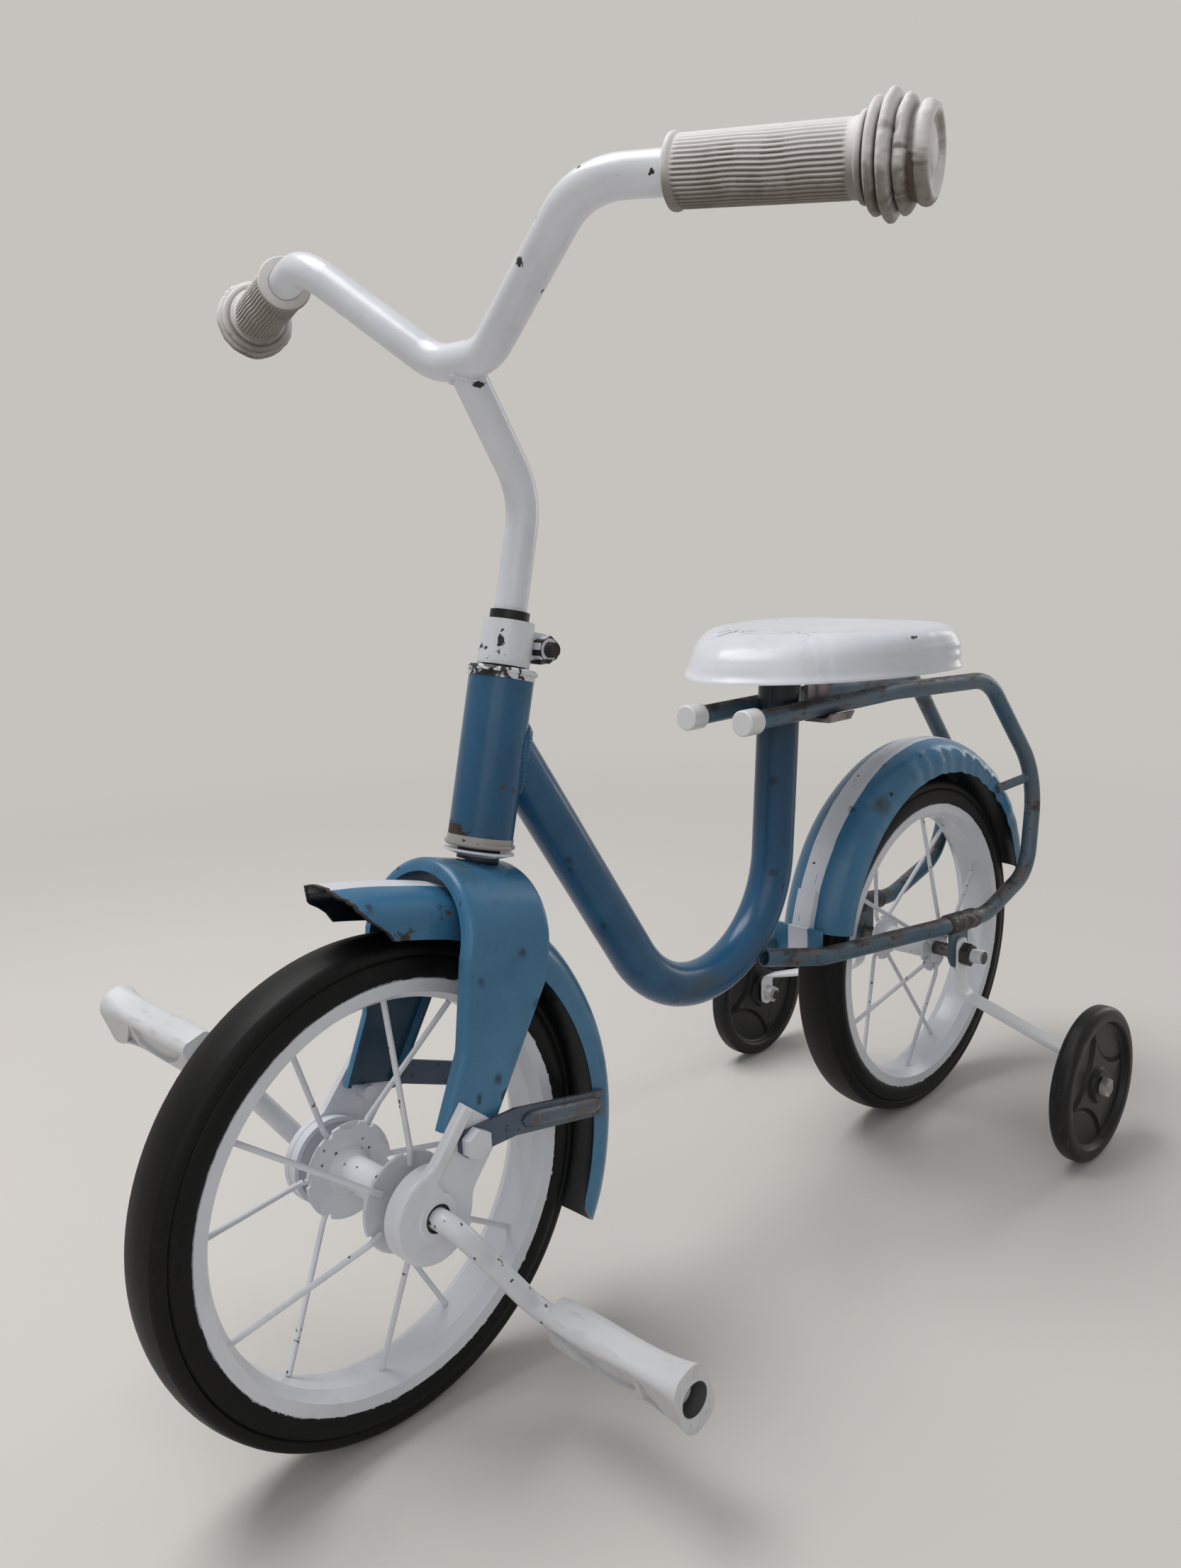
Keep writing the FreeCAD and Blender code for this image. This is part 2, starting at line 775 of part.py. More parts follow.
def wheels():
    front = ("front", FRONT_Y, S["front_flange_offset"], S["front_flange_radius"])
    rear = ("rear", REAR_Y, S["rear_flange_offset"], S["rear_flange_radius"])
    for place_of_wheel, shaft in ((front, S["rod_radius"]), (rear, S["axle_radius"])):
        tyre(*place_of_wheel[:2])
        rim(*place_of_wheel[:2])
        hub(*place_of_wheel, shaft + S["running_clearance"])
        spokes(*place_of_wheel)


# Crank and pedals


def crank_throw():
    """How far the left pedal stands behind and above the front hub."""
    return S["crank_length"] * cosine(S["crank_phase"]), -(S["crank_length"] * sine(S["crank_phase"]))


def crank():
    reach = S["crank_reach"]
    leg = S["crank_exit"]
    knee = leg + S["crank_splay"]
    arm = S["crank_length"]
    points = [(reach, arm), (knee, arm), (leg, ZERO), (-leg, ZERO), (-knee, -arm), (-reach, -arm)]
    body = piped_body("crank", "XZ_Plane", points, [S["crank_bend_radius"]] * 4, [S["rod_radius"]])
    turn = Rotation(X_AXIS, -S["crank_phase"] - 90)
    node(place(body, ZERO, FRONT_Y, AXLE_Z, turn), "crank")


def rounded_block(half_thickness, half_height, corner):
    """A rectangle with round corners, as corners for an outline."""
    t = half_thickness
    h = half_height
    bulge = corner * (1 - math.sqrt(0.5))
    return [
        (t - corner, -h),
        (t, corner - h, t - bulge, bulge - h),
        (t, h - corner),
        (t - corner, h, t - bulge, h - bulge),
        (corner - t, h),
        (-t, h - corner, bulge - t, h - bulge),
        (-t, corner - h),
        (corner - t, -h, bulge - t, bulge - h),
    ]


def pedals():
    """Hanging moulded blocks, flared at the outer end, that turn on the bent rod."""
    length = S["pedal_length"]
    half = S["pedal_inner_thickness"] / 2
    tall = S["pedal_inner_height"] / 2
    wide_half = S["pedal_outer_thickness"] / 2
    wide_tall = S["pedal_outer_height"] / 2
    corner = S["pedal_inner_thickness"] / 4
    lens = S["pedal_outer_thickness"] * 0.42
    body = new_body("pedal_block_left")
    stations = [
        (ZERO, half, tall, corner),
        (length * 0.62, half, tall * 1.05, corner),
        (length * 0.8, half * 1.03, tall * 1.16, corner * 1.1),
        (length, wide_half, wide_tall, lens),
    ]
    sketches = []
    for index, (along, thick, height, round_corner) in enumerate(stations, start=1):
        sketch = new_sketch(body, "YZ_Plane", f"pedal_section_{index}")
        outline(sketch, rounded_block(thick, height, round_corner))
        sketch.AttachmentOffset = Placement(Vector(0, 0, along), Rotation())
        sketch.setExpression("AttachmentOffset.Base.z", along.text)
        sketches.append(sketch)
    loft = body.newObject("PartDesign::AdditiveLoft", "pedal_loft")
    loft.Profile = sketches[0]
    loft.Sections = sketches[1:]
    loft.Ruled = False
    body.Tip = loft
    roof = tall * 0.66
    scoop = [
        (length * 0.06, roof),
        (length * 0.06, roof * 0.6),
        (length * 0.66, -(tall * 0.35), length * 0.38, -(tall * 0.72)),
        (length * 0.66, roof),
    ]
    recess = [
        (length * 0.7, roof * 0.9),
        (length * 0.7, -(tall * 0.72)),
        (length * 0.86, -(tall * 0.78)),
    ]
    floor = half - S["pedal_scoop_depth"]
    past = wide_half * 2
    cut_slab(body, "pedal_front_scoops", "XZ_Plane", [scoop, recess], floor, past)
    cut_slab(body, "pedal_rear_scoops", "XZ_Plane", [scoop, recess], -past, -floor)
    start = Vector(-1, 0, 0)
    drill(body, "pedal_bore", S["rod_radius"] + S["running_clearance"], length + 2, start, X_AXIS)
    mouth = Vector(length - S["pedal_mouth_depth"], 0, 0)
    drill(body, "pedal_mouth", S["pedal_mouth_radius"], S["pedal_mouth_depth"] + 1, mouth, X_AXIS)
    back, up = crank_throw()
    start_x = S["crank_exit"] + S["crank_splay"] + S["crank_bend_radius"] + S["pedal_gap"]
    tilt = Rotation(X_AXIS, S["pedal_tilt"])
    node(place(body, start_x, FRONT_Y + back, AXLE_Z + up, tilt), "pedal_block_left")
    mirror_image("pedal_block_right", body, -(back * 2), -(up * 2))


# Steering


def on_axis(thing, name, along=ZERO):
    y, z = steering_spot(along)
    return node(place(thing, ZERO, y, z, STEERING_TILT), name)


def cup(name, flange_low):
    """A bearing cup, with its flange at the end away from the head tube."""
    half = S["cup_thickness"] / 2
    bore = S["steerer_radius"] + S["running_clearance"]
    step = half - S["cup_flange"] if flange_low else S["cup_flange"] - half
    edge = S["cup_radius"] - S["cup_body_radius"]
    if flange_low:
        step = S["cup_flange"] - half
        corners = [
            (bore, -half),
            (S["cup_body_radius"], -half),
            (S["cup_radius"], edge - half),
            (S["cup_radius"], step),
            (S["cup_body_radius"], step),
            (S["cup_body_radius"], half),
            (bore, half),
        ]
    else:
        step = half - S["cup_flange"]
        corners = [
            (bore, -half),
            (S["cup_body_radius"], -half),
            (S["cup_body_radius"], step),
            (S["cup_radius"], step),
            (S["cup_radius"], half - edge),
            (S["cup_body_radius"], half),
            (bore, half),
        ]
    return turned_body(name, corners)


def head_bearings():
    half = S["cup_thickness"] / 2
    on_axis(cup("lower_cup", True), "lower_cup")
    on_axis(cup("upper_cup", False), "upper_cup", S["head_length"])
    bore = S["head_radius"] - S["head_wall"]
    on_axis(ring("head_tube", bore, S["head_radius"], half, S["head_length"] - half), "head_tube")


def steerer():
    bore = S["stem_radius"] + S["clamp_gap"]
    bottom = -(S["neck_length"] + S["cup_thickness"] / 2)
    on_axis(ring("steerer", bore, S["steerer_radius"], bottom, S["steerer_top"]), "steerer")
    washer_low = bottom + S["neck_length"] / 4
    inner = S["steerer_radius"] + S["clamp_gap"]
    washer = turned_body(
        "fork_washer",
        [
            (inner, washer_low),
            (S["washer_radius"], washer_low + S["washer_dish"]),
            (S["washer_radius"], washer_low + S["washer_dish"] + S["washer_wall"]),
            (inner, washer_low + S["washer_wall"]),
        ],
    )
    on_axis(washer, "fork_washer")
    top = S["steerer_top"] + S["collar_height"]
    on_axis(ring("collar", bore, S["collar_radius"], S["steerer_top"], top), "collar")


def stem_clamp():
    """A ring with two rounded ears, pinched by a bolt behind the steerer."""
    height = S["clamp_height"]
    middle = height / 2
    reach = S["ear_reach"]
    ear = S["ear_radius"]
    half = S["ear_half_width"]
    slit = S["clamp_slit"]
    body = new_body("stem_clamp")
    slab(body, "clamp_ring", "XY_Plane", [(ZERO, ZERO, S["clamp_radius"])], ZERO, height)
    ears = [
        (ZERO, middle - ear),
        (reach, middle - ear),
        (reach, middle + ear, reach + ear, middle),
        (ZERO, middle + ear),
    ]
    slab(body, "clamp_ears", "YZ_Plane", [ears], -half, half)
    behind = reach + ear * 2
    gap = [(-slit, ZERO), (slit, ZERO), (slit, behind), (-slit, behind)]
    cut_slab(body, "clamp_slit", "XY_Plane", [gap], -middle, height * 2)
    bore = (ZERO, ZERO, S["steerer_radius"] + S["clamp_gap"])
    cut_slab(body, "clamp_bore", "XY_Plane", [bore], -middle, height * 2)
    hole = (reach, middle, S["clamp_bolt_radius"] + S["clamp_gap"])
    cut_slab(body, "clamp_hole", "YZ_Plane", [hole], -behind, behind)
    on_axis(body, "stem_clamp", S["clamp_bottom"])

    nut = S["clamp_nut_thickness"]
    bolt = stacked_body(
        "clamp_bolt",
        [
            ("rod", S["clamp_bolt_radius"], -half - S["fit_gap"], half + nut + S["clamp_bolt_end"]),
            ("hexagon", S["clamp_nut_width"], half + S["fit_gap"], half + nut),
            ("hexagon", S["clamp_nut_width"], -half - nut, -half - S["fit_gap"]),
        ],
    )
    y, z = steering_spot(S["clamp_bottom"] + middle, -reach)
    node(place(bolt, ZERO, y, z, STEERING_TILT.multiply(ALONG_X)), "clamp_bolt")


def bar_corners():
    """The handlebar's corners from the rider's right end to the left one."""
    low_y = FOOT_Y + S["bar_back"]
    low_z = FOOT_Z + S["bar_rise"]
    high_y = low_y - S["bar_high_ahead"]
    high_z = low_z + S["bar_high_rise"]
    end_y = high_y + S["bar_end_back"]
    end_z = high_z - S["bar_end_drop"]
    left = [
        Vector(S["bar_low_reach"], low_y, low_z),
        Vector(S["bar_high_reach"], high_y, high_z),
        Vector(S["bar_end_reach"], end_y, end_z),
    ]
    return [Vector(-spot.x, spot.y, spot.z) for spot in reversed(left)] + left


def handlebar():
    """A tube bent in space, swept along its path and hollowed by a thinner sweep."""
    points = bar_corners()
    bends = [float(S[name]) for name in ("bar_high_bend", "bar_low_bend", "bar_low_bend", "bar_high_bend")]
    path = shape_feature("bar_path", bent_path(points, bends))
    sweeps = []
    for name, radius in (("bar_outside", S["bar_radius"]), ("bar_inside", S["bar_radius"] - S["bar_wall"])):
        section = document.addObject("Part::Circle", f"{name}_section")
        bind(section, Radius=radius)
        section.Placement = Placement(points[0], Rotation(Z_AXIS, points[1] - points[0]))
        sweep = document.addObject("Part::Sweep", name)
        sweep.Sections = [section]
        sweep.Spine = (path, [])
        sweep.Solid = True
        sweeps.append(sweep)
    bar = document.addObject("Part::Cut", "handlebar")
    bar.Base, bar.Tool = sweeps
    node(bar, "handlebar")


def stem():
    low_y = FOOT_Y + S["bar_back"]
    low_z = FOOT_Z + S["bar_rise"]
    points = [steering_spot(S["stem_bottom"]), steering_spot(S["stem_knee"]), (low_y, low_z)]
    body = piped_body("stem", "YZ_Plane", points, [S["stem_bend_radius"]], [S["stem_radius"]])
    seat = Vector(-S["bar_low_reach"], low_y, low_z)
    drill(body, "stem_seat", S["bar_radius"] + S["fit_gap"], S["bar_low_reach"] * 2, seat, X_AXIS)
    node(body, "stem")


def grips():
    bore = S["bar_radius"] + S["clamp_gap"]
    collar = S["grip_collar"]
    body_end = S["grip_body_length"]
    end = S["grip_length"]
    disc = S["grip_disc_radius"]
    head = end - body_end
    corners = [
        (bore, ZERO),
        (S["grip_collar_radius"], ZERO),
        (S["grip_collar_radius"], collar),
        (S["grip_radius"], collar),
        (S["grip_outer_radius"], body_end),
        (disc * 0.7, body_end + head * 0.02),
        (disc * 0.7, body_end + head * 0.14),
        (disc * 0.92, body_end + head * 0.16),
        (disc * 0.92, body_end + head * 0.28),
        (disc * 0.8, body_end + head * 0.3),
        (disc, body_end + head * 0.33),
        (disc, body_end + head * 0.46),
        (disc * 0.8, body_end + head * 0.48),
        (disc * 0.9, body_end + head * 0.51),
        (disc * 0.9, body_end + head * 0.66),
        (disc * 0.72, body_end + head * 0.69),
        (disc * 0.74, end - collar / 2),
        (disc * 0.66, end),
        (ZERO, end),
        (ZERO, end - S["grip_end_wall"]),
        (bore, end - S["grip_end_wall"]),
    ]
    body = turned_body("grip_left", corners)
    high, bar_end = bar_corners()[4:]
    direction = (bar_end - high).normalize()
    start = bar_end - direction * (S["grip_cover"] / direction.x)
    body.Placement = Placement(start, Rotation(Z_AXIS, direction))
    both_sides(body, "grip")


# Fork


def arch_body(name, outside, depth, inset):
    """A band bent to an inverted U, trimmed to the fork's side view."""
    half = S["fork_half_width"] - outside
    inside = half - depth
    straight = -S["fork_half_width"]
    leg_end = -S["fork_leg_length"]
    top = straight + half
    band = [
        (-half, leg_end),
        (-half, straight),
        (half, straight, ZERO, top),
        (half, leg_end),
        (inside, leg_end),
        (inside, straight),
        (-inside, straight, ZERO, straight + inside),
        (-inside, leg_end),
    ]
    wide = S["fork_half_width"] * 2
    body = new_body(name)
    slab(body, f"{name}_band", "XZ_Plane", [band], -wide, wide)
    front = inset - S["fork_front"]
    back = S["fork_back"] - inset
    foot_front = inset - S["fork_foot_front"]
    foot_back = -(S["fork_foot_back"] + inset)
    shoulder = S["fork_shoulder"]
    over = S["fork_wall"]
    side = [
        (front + over, over),
        (back, over),
        (back, -shoulder),
        (foot_back, leg_end),
        (foot_front, leg_end),
        (front + over * 2, -(shoulder * 1.6)),
        (front, straight),
    ]
    far = S["fork_leg_length"] * 2
    around = [(-far, -far), (far, -far), (far, far), (-far, far)]
    cut_slab(body, f"{name}_trim", "YZ_Plane", [around, side], -wide, wide)
    return body


def fork():
    """A pressed strap with turned-in edges: a rounded band with a channel cut from inside."""
    half = float(S["fork_half_width"])
    strap = arch_body("fork_strap", ZERO, S["fork_flange"], ZERO)

    def on_outside(points):
        along_band = abs((points[-1] - points[0]).normalize().y) < 0.99
        for point in points:
            if point.z > -half:
                off = abs(math.hypot(point.x, point.z + half) - half)
            else:
                off = abs(abs(point.x) - half)
            if off > 1e-3 or point.z < 1e-3 - S["fork_leg_length"]:
                return False
        return along_band

    round_edges(strap, "fork_edges", S["fork_edge_radius"], on_outside)
    bore = Vector(0, 0, -S["fork_shoulder"])
    drill(strap, "steerer_bore", S["steerer_radius"] + S["clamp_gap"], S["fork_shoulder"] * 2, bore, Z_AXIS)
    hub_y, hub_z = fork_foot_spot()
    bolt = Vector(-S["fork_half_width"] * 2, *(float(part) for part in strap_spot(hub_y, hub_z)))
    bolt_room = S["fork_bolt_radius"] + S["clamp_gap"]
    drill(strap, "fork_bolt_holes", bolt_room, S["fork_half_width"] * 4, bolt, X_AXIS)
    channel = arch_body("fork_channel", S["fork_wall"], S["fork_flange"], S["fork_wall"])
    y, z = steering_spot(-S["crown_drop"])
    for body in (strap, channel):
        place(body, ZERO, y, z, STEERING_TILT)
    cut = document.addObject("Part::Cut", "fork")
    cut.Base = strap
    cut.Tool = channel
    node(cut, "fork")


def leg_foot():
    """The middle of the fork leg's foot, from the front hub, in Y and Z."""
    ahead = (S["fork_foot_front"] + S["fork_foot_back"]) / 2
    y, z = steering_spot(-(S["crown_drop"] + S["fork_leg_length"]), ahead)
    return y - FRONT_Y, z - AXLE_Z


def fork_foot_spot():
    """The bolt through the leg and its end piece, from the front hub, in Y and Z."""
    y, z = leg_foot()
    return y * S["fork_bolt_share"], z * S["fork_bolt_share"]


def strap_spot(hub_y, hub_z):
    """A point given from the front hub, in the fork strap's own Y and Z."""
    crown_y, crown_z = steering_spot(-S["crown_drop"])
    y = FRONT_Y + hub_y - crown_y
    z = AXLE_Z + hub_z - crown_z
    return y * LEAN_COSINE - z * LEAN_SINE, y * LEAN_SINE + z * LEAN_COSINE


def fork_ends():
    """Pressed end pieces that lap over the legs and swell into a cup round the crank."""
    foot_y, foot_z = leg_foot()
    rise = root(foot_y * foot_y + foot_z * foot_z)
    turn = Rotation(X_AXIS, -math.degrees(math.atan2(foot_y, foot_z)))
    top = rise + S["fork_end_lap"]
    outside = S["fork_half_width"] + S["fit_gap"]
    face = outside + S["fork_end_wall"]
    ridge = face + S["fork_ridge"]
    cup_radius = S["fork_cup_radius"]
    half = S["fork_end_half_width"]
    blend = S["fork_end_blend"]
    fold = S["fork_fold"]

    # The waist arc touches both the straight edge and the cup's circle.
    reach = cup_radius + blend
    waist_y = half + blend
    waist_z = root(reach * reach - waist_y * waist_y)
    touch_y = waist_y * cup_radius / reach
    touch_z = waist_z * cup_radius / reach
    waist_turn = math.pi + math.atan2(waist_z, waist_y) / 2
    waist_mid = (waist_y + blend * math.cos(waist_turn), waist_z + blend * math.sin(waist_turn))
    keyhole = [
        (half, top),
        (-half, top),
        (-half, waist_z),
        (-touch_y, touch_z, -waist_mid[0], waist_mid[1]),
        (touch_y, touch_z, ZERO, -cup_radius),
        (half, waist_z, *waist_mid),
    ]
    body = new_body("fork_end_left")
    slab(body, "end_plate", "YZ_Plane", [keyhole], outside, face)
    lip_turn = math.radians(13)
    low_y = cup_radius * math.cos(lip_turn)
    low_z = cup_radius * math.sin(lip_turn)
    raised = [
        (-half, top),
        (-half, waist_z),
        (-touch_y, touch_z, -waist_mid[0], waist_mid[1]),
        (low_y, low_z, ZERO, -cup_radius),
        (S["fork_boss_radius"] * 0.8, low_z * 1.2),
        (-fold, waist_z * 0.6),
        (-fold, top),
    ]
    slab(body, "end_ridge", "YZ_Plane", [raised], face, ridge)

    boss_top = ridge + S["fork_boss"]
    boss_radius = S["fork_boss_radius"]

    def on_ridge_top(points):
        flat = all(abs(point.x - ridge) < 1e-3 for point in points)
        return flat and all(math.hypot(point.y, point.z) > cup_radius - fold for point in points)

    round_edges(body, "end_ridge_edges", S["fork_end_edge"], on_ridge_top)
    edge = S["fork_end_edge"]
    dome = [
        (outside, ZERO),
        (outside, boss_radius),
        (ridge - edge / 2, boss_radius),
        (boss_top, boss_radius - edge, boss_top - edge * 0.35, boss_radius - edge * 0.35),
        (boss_top, ZERO),
    ]
    boss_sketch = new_sketch(body, "XZ_Plane", "end_boss_outline")
    outline(boss_sketch, dome)
    boss = body.newObject("PartDesign::Revolution", "end_boss")
    boss.Profile = boss_sketch
    boss.ReferenceAxis = (boss_sketch, ["H_Axis"])
    boss.Angle = 360
    body.Tip = boss
    rim_radius = cup_radius - S["fork_cup_step"]
    slab(
        body,
        "end_cup_rim",
        "YZ_Plane",
        [(ZERO, ZERO, rim_radius), (ZERO, ZERO, rim_radius - S["fork_cup_wall"])],
        outside - S["fork_cup_depth"],
        (outside + face) / 2,
    )
    past = outside * 2
    cut_slab(body, "end_hole", "YZ_Plane", [(ZERO, ZERO, S["fork_hole_radius"])], ZERO, past)
    bolt_hole = (ZERO, rise * S["fork_bolt_share"], S["fork_bolt_radius"] + S["clamp_gap"])
    cut_slab(body, "end_bolt_hole", "YZ_Plane", [bolt_hole], ZERO, past)
    both_sides(place(body, ZERO, FRONT_Y, AXLE_Z, turn), "fork_end")

    bush_low = S["front_flange_offset"] + S["spoke_radius"] * 3 + S["seat_gap"]
    bush = ring(
        "fork_bush_left",
        S["rod_radius"] + S["running_clearance"],
        S["fork_hole_radius"] - S["fit_gap"],
        bush_low,
        boss_top - S["fork_boss"],
    )
    both_sides(place(bush, ZERO, FRONT_Y, AXLE_Z, ALONG_X), "fork_bush")

    seat = face + S["stay_wall"] + S["fit_gap"]
    bolt = stacked_body(
        "fork_bolt_left",
        [
            ("rod", S["fork_bolt_radius"], S["fork_half_width"] - S["fork_flange"], seat + S["fit_gap"]),
            ("hexagon", S["fork_bolt_head"], seat, seat + S["fork_bolt_head_height"]),
        ],
    )
    bolt_y, bolt_z = fork_foot_spot()
    both_sides(place(bolt, ZERO, FRONT_Y + bolt_y, AXLE_Z + bolt_z, ALONG_X), "fork_bolt")
    fender_stays(face)


def fender_stays(face):
    """Straps from the fork bolts, bent in to lie on the front fender's skirts."""
    bolt_y, bolt_z = fork_foot_spot()
    nose = bolt_y - S["stay_nose"]
    bend = bolt_y + S["stay_straight"]
    reach = FRONT_FENDER_RADIUS - S["fender_crown"]
    wall = S["stay_wall"]
    inner = S["fender_half_width"] + S["seat_gap"]
    body = new_body("fender_stay_left")
    plan = [
        (face, nose),
        (face, bend),
        (inner, reach),
        (inner + wall, reach),
        (face + wall, bend + wall / 2),
        (face + wall, nose),
    ]
    tall = S["stay_width"] * 4
    slab(body, "stay_plan", "XY_Plane", [plan], bolt_z - tall, bolt_z + tall)
    half = S["stay_width"] / 2
    corner = S["stay_corner"]
    fall = S["stay_fall"]
    side = [
        (nose, bolt_z + half - corner),
        (nose + corner, bolt_z + half),
        (bend, bolt_z + half),
        (reach, fall + half),
        (reach, fall - half),
        (bend, bolt_z - half),
        (nose + corner, bolt_z - half),
        (nose, bolt_z - half + corner),
    ]
    around = [(-reach, -reach), (reach * 2, -reach), (reach * 2, reach), (-reach, reach)]
    cut_slab(body, "stay_trim", "YZ_Plane", [around, side], ZERO, face * 2)
    hole = (bolt_y, bolt_z, S["fork_bolt_radius"] + S["clamp_gap"])
    cut_slab(body, "stay_hole", "YZ_Plane", [hole], ZERO, face * 2)
    both_sides(place(body, ZERO, FRONT_Y, AXLE_Z), "fender_stay")


# Fenders


def shell_corners(radius):
    """A fender's cross-section: an oval crown and two straight skirts, with an even wall."""
    wide = S["fender_half_width"]
    tall = S["fender_crown"]
    wall = S["fender_wall"]
    centre = radius - tall
    low = centre - S["fender_skirt"]
    narrow = wide - wall
    short = tall - wall
    side = 0.643
    rise = 0.766
    quarter_side = 0.906
    quarter_rise = 0.423
    return [
        (-wide, low),
        (-wide, centre),
        (-(wide * side), centre + tall * rise, -(wide * quarter_side), centre + tall * quarter_rise),
        (wide * side, centre + tall * rise, ZERO, radius),
        (wide, centre, wide * quarter_side, centre + tall * quarter_rise),
        (wide, low),
        (narrow, low),
        (narrow, centre),
        (narrow * side, centre + short * rise, narrow * quarter_side, centre + short * quarter_rise),
        (-(narrow * side), centre + short * rise, ZERO, radius - wall),
        (-narrow, centre, -(narrow * quarter_side), centre + short * quarter_rise),
        (-narrow, low),
    ]


def bent_fender(name, radius, tail, sweep, lift=None):
    """A channel bent round a wheel from its tail, with its nose lifted if asked."""
    body = new_body(name)
    section = new_sketch(body, "XZ_Plane", f"{name}_section")
    outline(section, shell_corners(radius))
    path = new_sketch(body, "YZ_Plane", f"{name}_path")
    start = Vector(0, radius, 0)
    middle = Rotation(Z_AXIS, sweep / 2).multVec(start)
    finish = Rotation(Z_AXIS, sweep).multVec(start)
    path.addGeometry(Part.Arc(start, middle, finish), False)
    edges = ["Edge1"]
    if lift:
        lift_radius, lift_turn = lift
        centre = finish * (1 - lift_radius / radius)
        arm = finish - centre
        half_way = centre + Rotation(Z_AXIS, lift_turn / 2).multVec(arm)
        nose = centre + Rotation(Z_AXIS, lift_turn).multVec(arm)
        path.addGeometry(Part.Arc(finish, half_way, nose), False)
        edges.append("Edge2")
    path.Visibility = False
    pipe = body.newObject("PartDesign::AdditivePipe", f"{name}_channel")
    pipe.Profile = section
    pipe.Spine = (path, edges)
    body.Tip = pipe
    return body


def front_fender():
    tail = S["front_fender_tail"]
    sweep = S["front_fender_lift"] - tail
    lift = (S["front_fender_lift_radius"], S["front_fender_lift_turn"])
    body = bent_fender("front_fender", FRONT_FENDER_RADIUS, tail, sweep, lift)
    # The torn nose slants from the crown's tip back to the skirts.
    tear = []
    spots = ((110, 1.2), (98, 1.09), (97.4, 1.03), (95.6, 0.99), (95, 0.95), (91.2, 0.9), (88.5, 0.84))
    for angle, share in spots + ((86, 0.7), (110, 0.7)):
        turned = math.radians(angle + 90 - tail)
        spot = Vector(math.cos(turned), math.sin(turned), 0) * (FRONT_FENDER_RADIUS * share)
        tear.append((spot.x, spot.y))
    wide = S["fender_half_width"] * 2
    cut_slab(body, "nose_tear", "YZ_Plane", [tear], -wide, wide)
    turn = Rotation(X_AXIS, tail - 90)
    node(place(body, ZERO, FRONT_Y, AXLE_Z, turn), "front_fender")
    crown_bolt(body)


def crown_bolt(fender):
    """The spacer between the fork's crown and the front fender."""
    top = S["crown_drop"] + S["fork_wall"] + S["seat_gap"]
    document.recompute()
    low = on_steering(-(S["crown_drop"] + S["fork_wall"] + S["crown_bolt_length"]))
    spacer = rod(low, on_steering(-top), S["crown_bolt_radius"]).cut(fender.Shape)
    outside = max(spacer.Solids, key=lambda solid: solid.CenterOfMass.z)
    node(shape_feature("crown_bolt", outside), "crown_bolt")


def rear_fender():
    tail = S["rear_fender_tail"]
    sweep = S["rear_fender_nose"] - tail
    body = bent_fender("rear_fender", REAR_FENDER_RADIUS, tail, sweep)
    centre_y = REAR_Y + S["rear_fender_shift"]
    centre_z = AXLE_Z + S["rear_fender_rise"]
    node(place(body, ZERO, centre_y, centre_z, Rotation(X_AXIS, tail - 90)), "rear_fender")
    document.recompute()
    return body.Shape


def fender_bridge(fender_shape, loops, tube_shape):
    """A strip bent up from between the side loops to lie on the fender's crown."""
    half = S["bridge_half_width"]
    thick = S["bridge_wall"]
    corner = Vector(-half, REAR_Y - S["bridge_setback"], LOOP_LOW_Z)
    foot = Part.makeBox(half * 2, thick, S["bridge_height"], corner)
    tab_half = S["bridge_tab_width"] / 2
    outer = REAR_FENDER_RADIUS + thick
    corners = [
        Vector(-tab_half, 0, REAR_FENDER_RADIUS),
        Vector(tab_half, 0, REAR_FENDER_RADIUS),
        Vector(tab_half, 0, outer),
        Vector(-tab_half, 0, outer),
    ]
    face = Part.Face(Part.makePolygon(corners + corners[:1]))
    face.rotate(Vector(0, 0, 0), X_AXIS, S["bridge_tab_top"] - 90)
    tab = face.revolve(Vector(0, 0, 0), X_AXIS, S["bridge_tab_turn"])
    tab.translate(Vector(0, REAR_Y + S["rear_fender_shift"], AXLE_Z + S["rear_fender_rise"]))
    bridge = foot.fuse(tab).cut(fender_shape).cut(tube_shape)
    for loop in loops:
        bridge = bridge.cut(loop)
    largest = max(bridge.Solids, key=lambda solid: solid.Volume)
    node(shape_feature("fender_bridge", largest.removeSplitter()), "fender_bridge")


# Frame


def main_tube():
    """The frame's one bent tube, from the head down under the rider and up to the seat."""
    points = [
        steering_spot(S["down_tube_join"]),
        (REAR_Y - S["main_apex_setback"], S["main_apex_height"]),
        (REAR_Y - S["seat_tube_setback"], SEAT_TUBE_TOP_Z),
    ]
    radius = S["main_tube_radius"]
    radii = [radius, radius - S["main_tube_wall"]]
    bend = (points[2][0] - points[0][0]) * S["main_bend_share"]
    body = piped_body("main_tube", "YZ_Plane", points, [bend], radii)
    foot = on_steering(ZERO)
    up = on_steering(S["head_length"]) - foot
    head_room = S["head_radius"] + S["fit_gap"]
    drill(body, "head_seat", head_room, S["head_length"] * 2, foot - up * 0.5, up)
    node(body, "main_tube")
    solid = [Vector(0, *point) for point in points]
    return swept_rod(bent_path(solid, [float(bend)]), radius + S["fit_gap"] / 2)


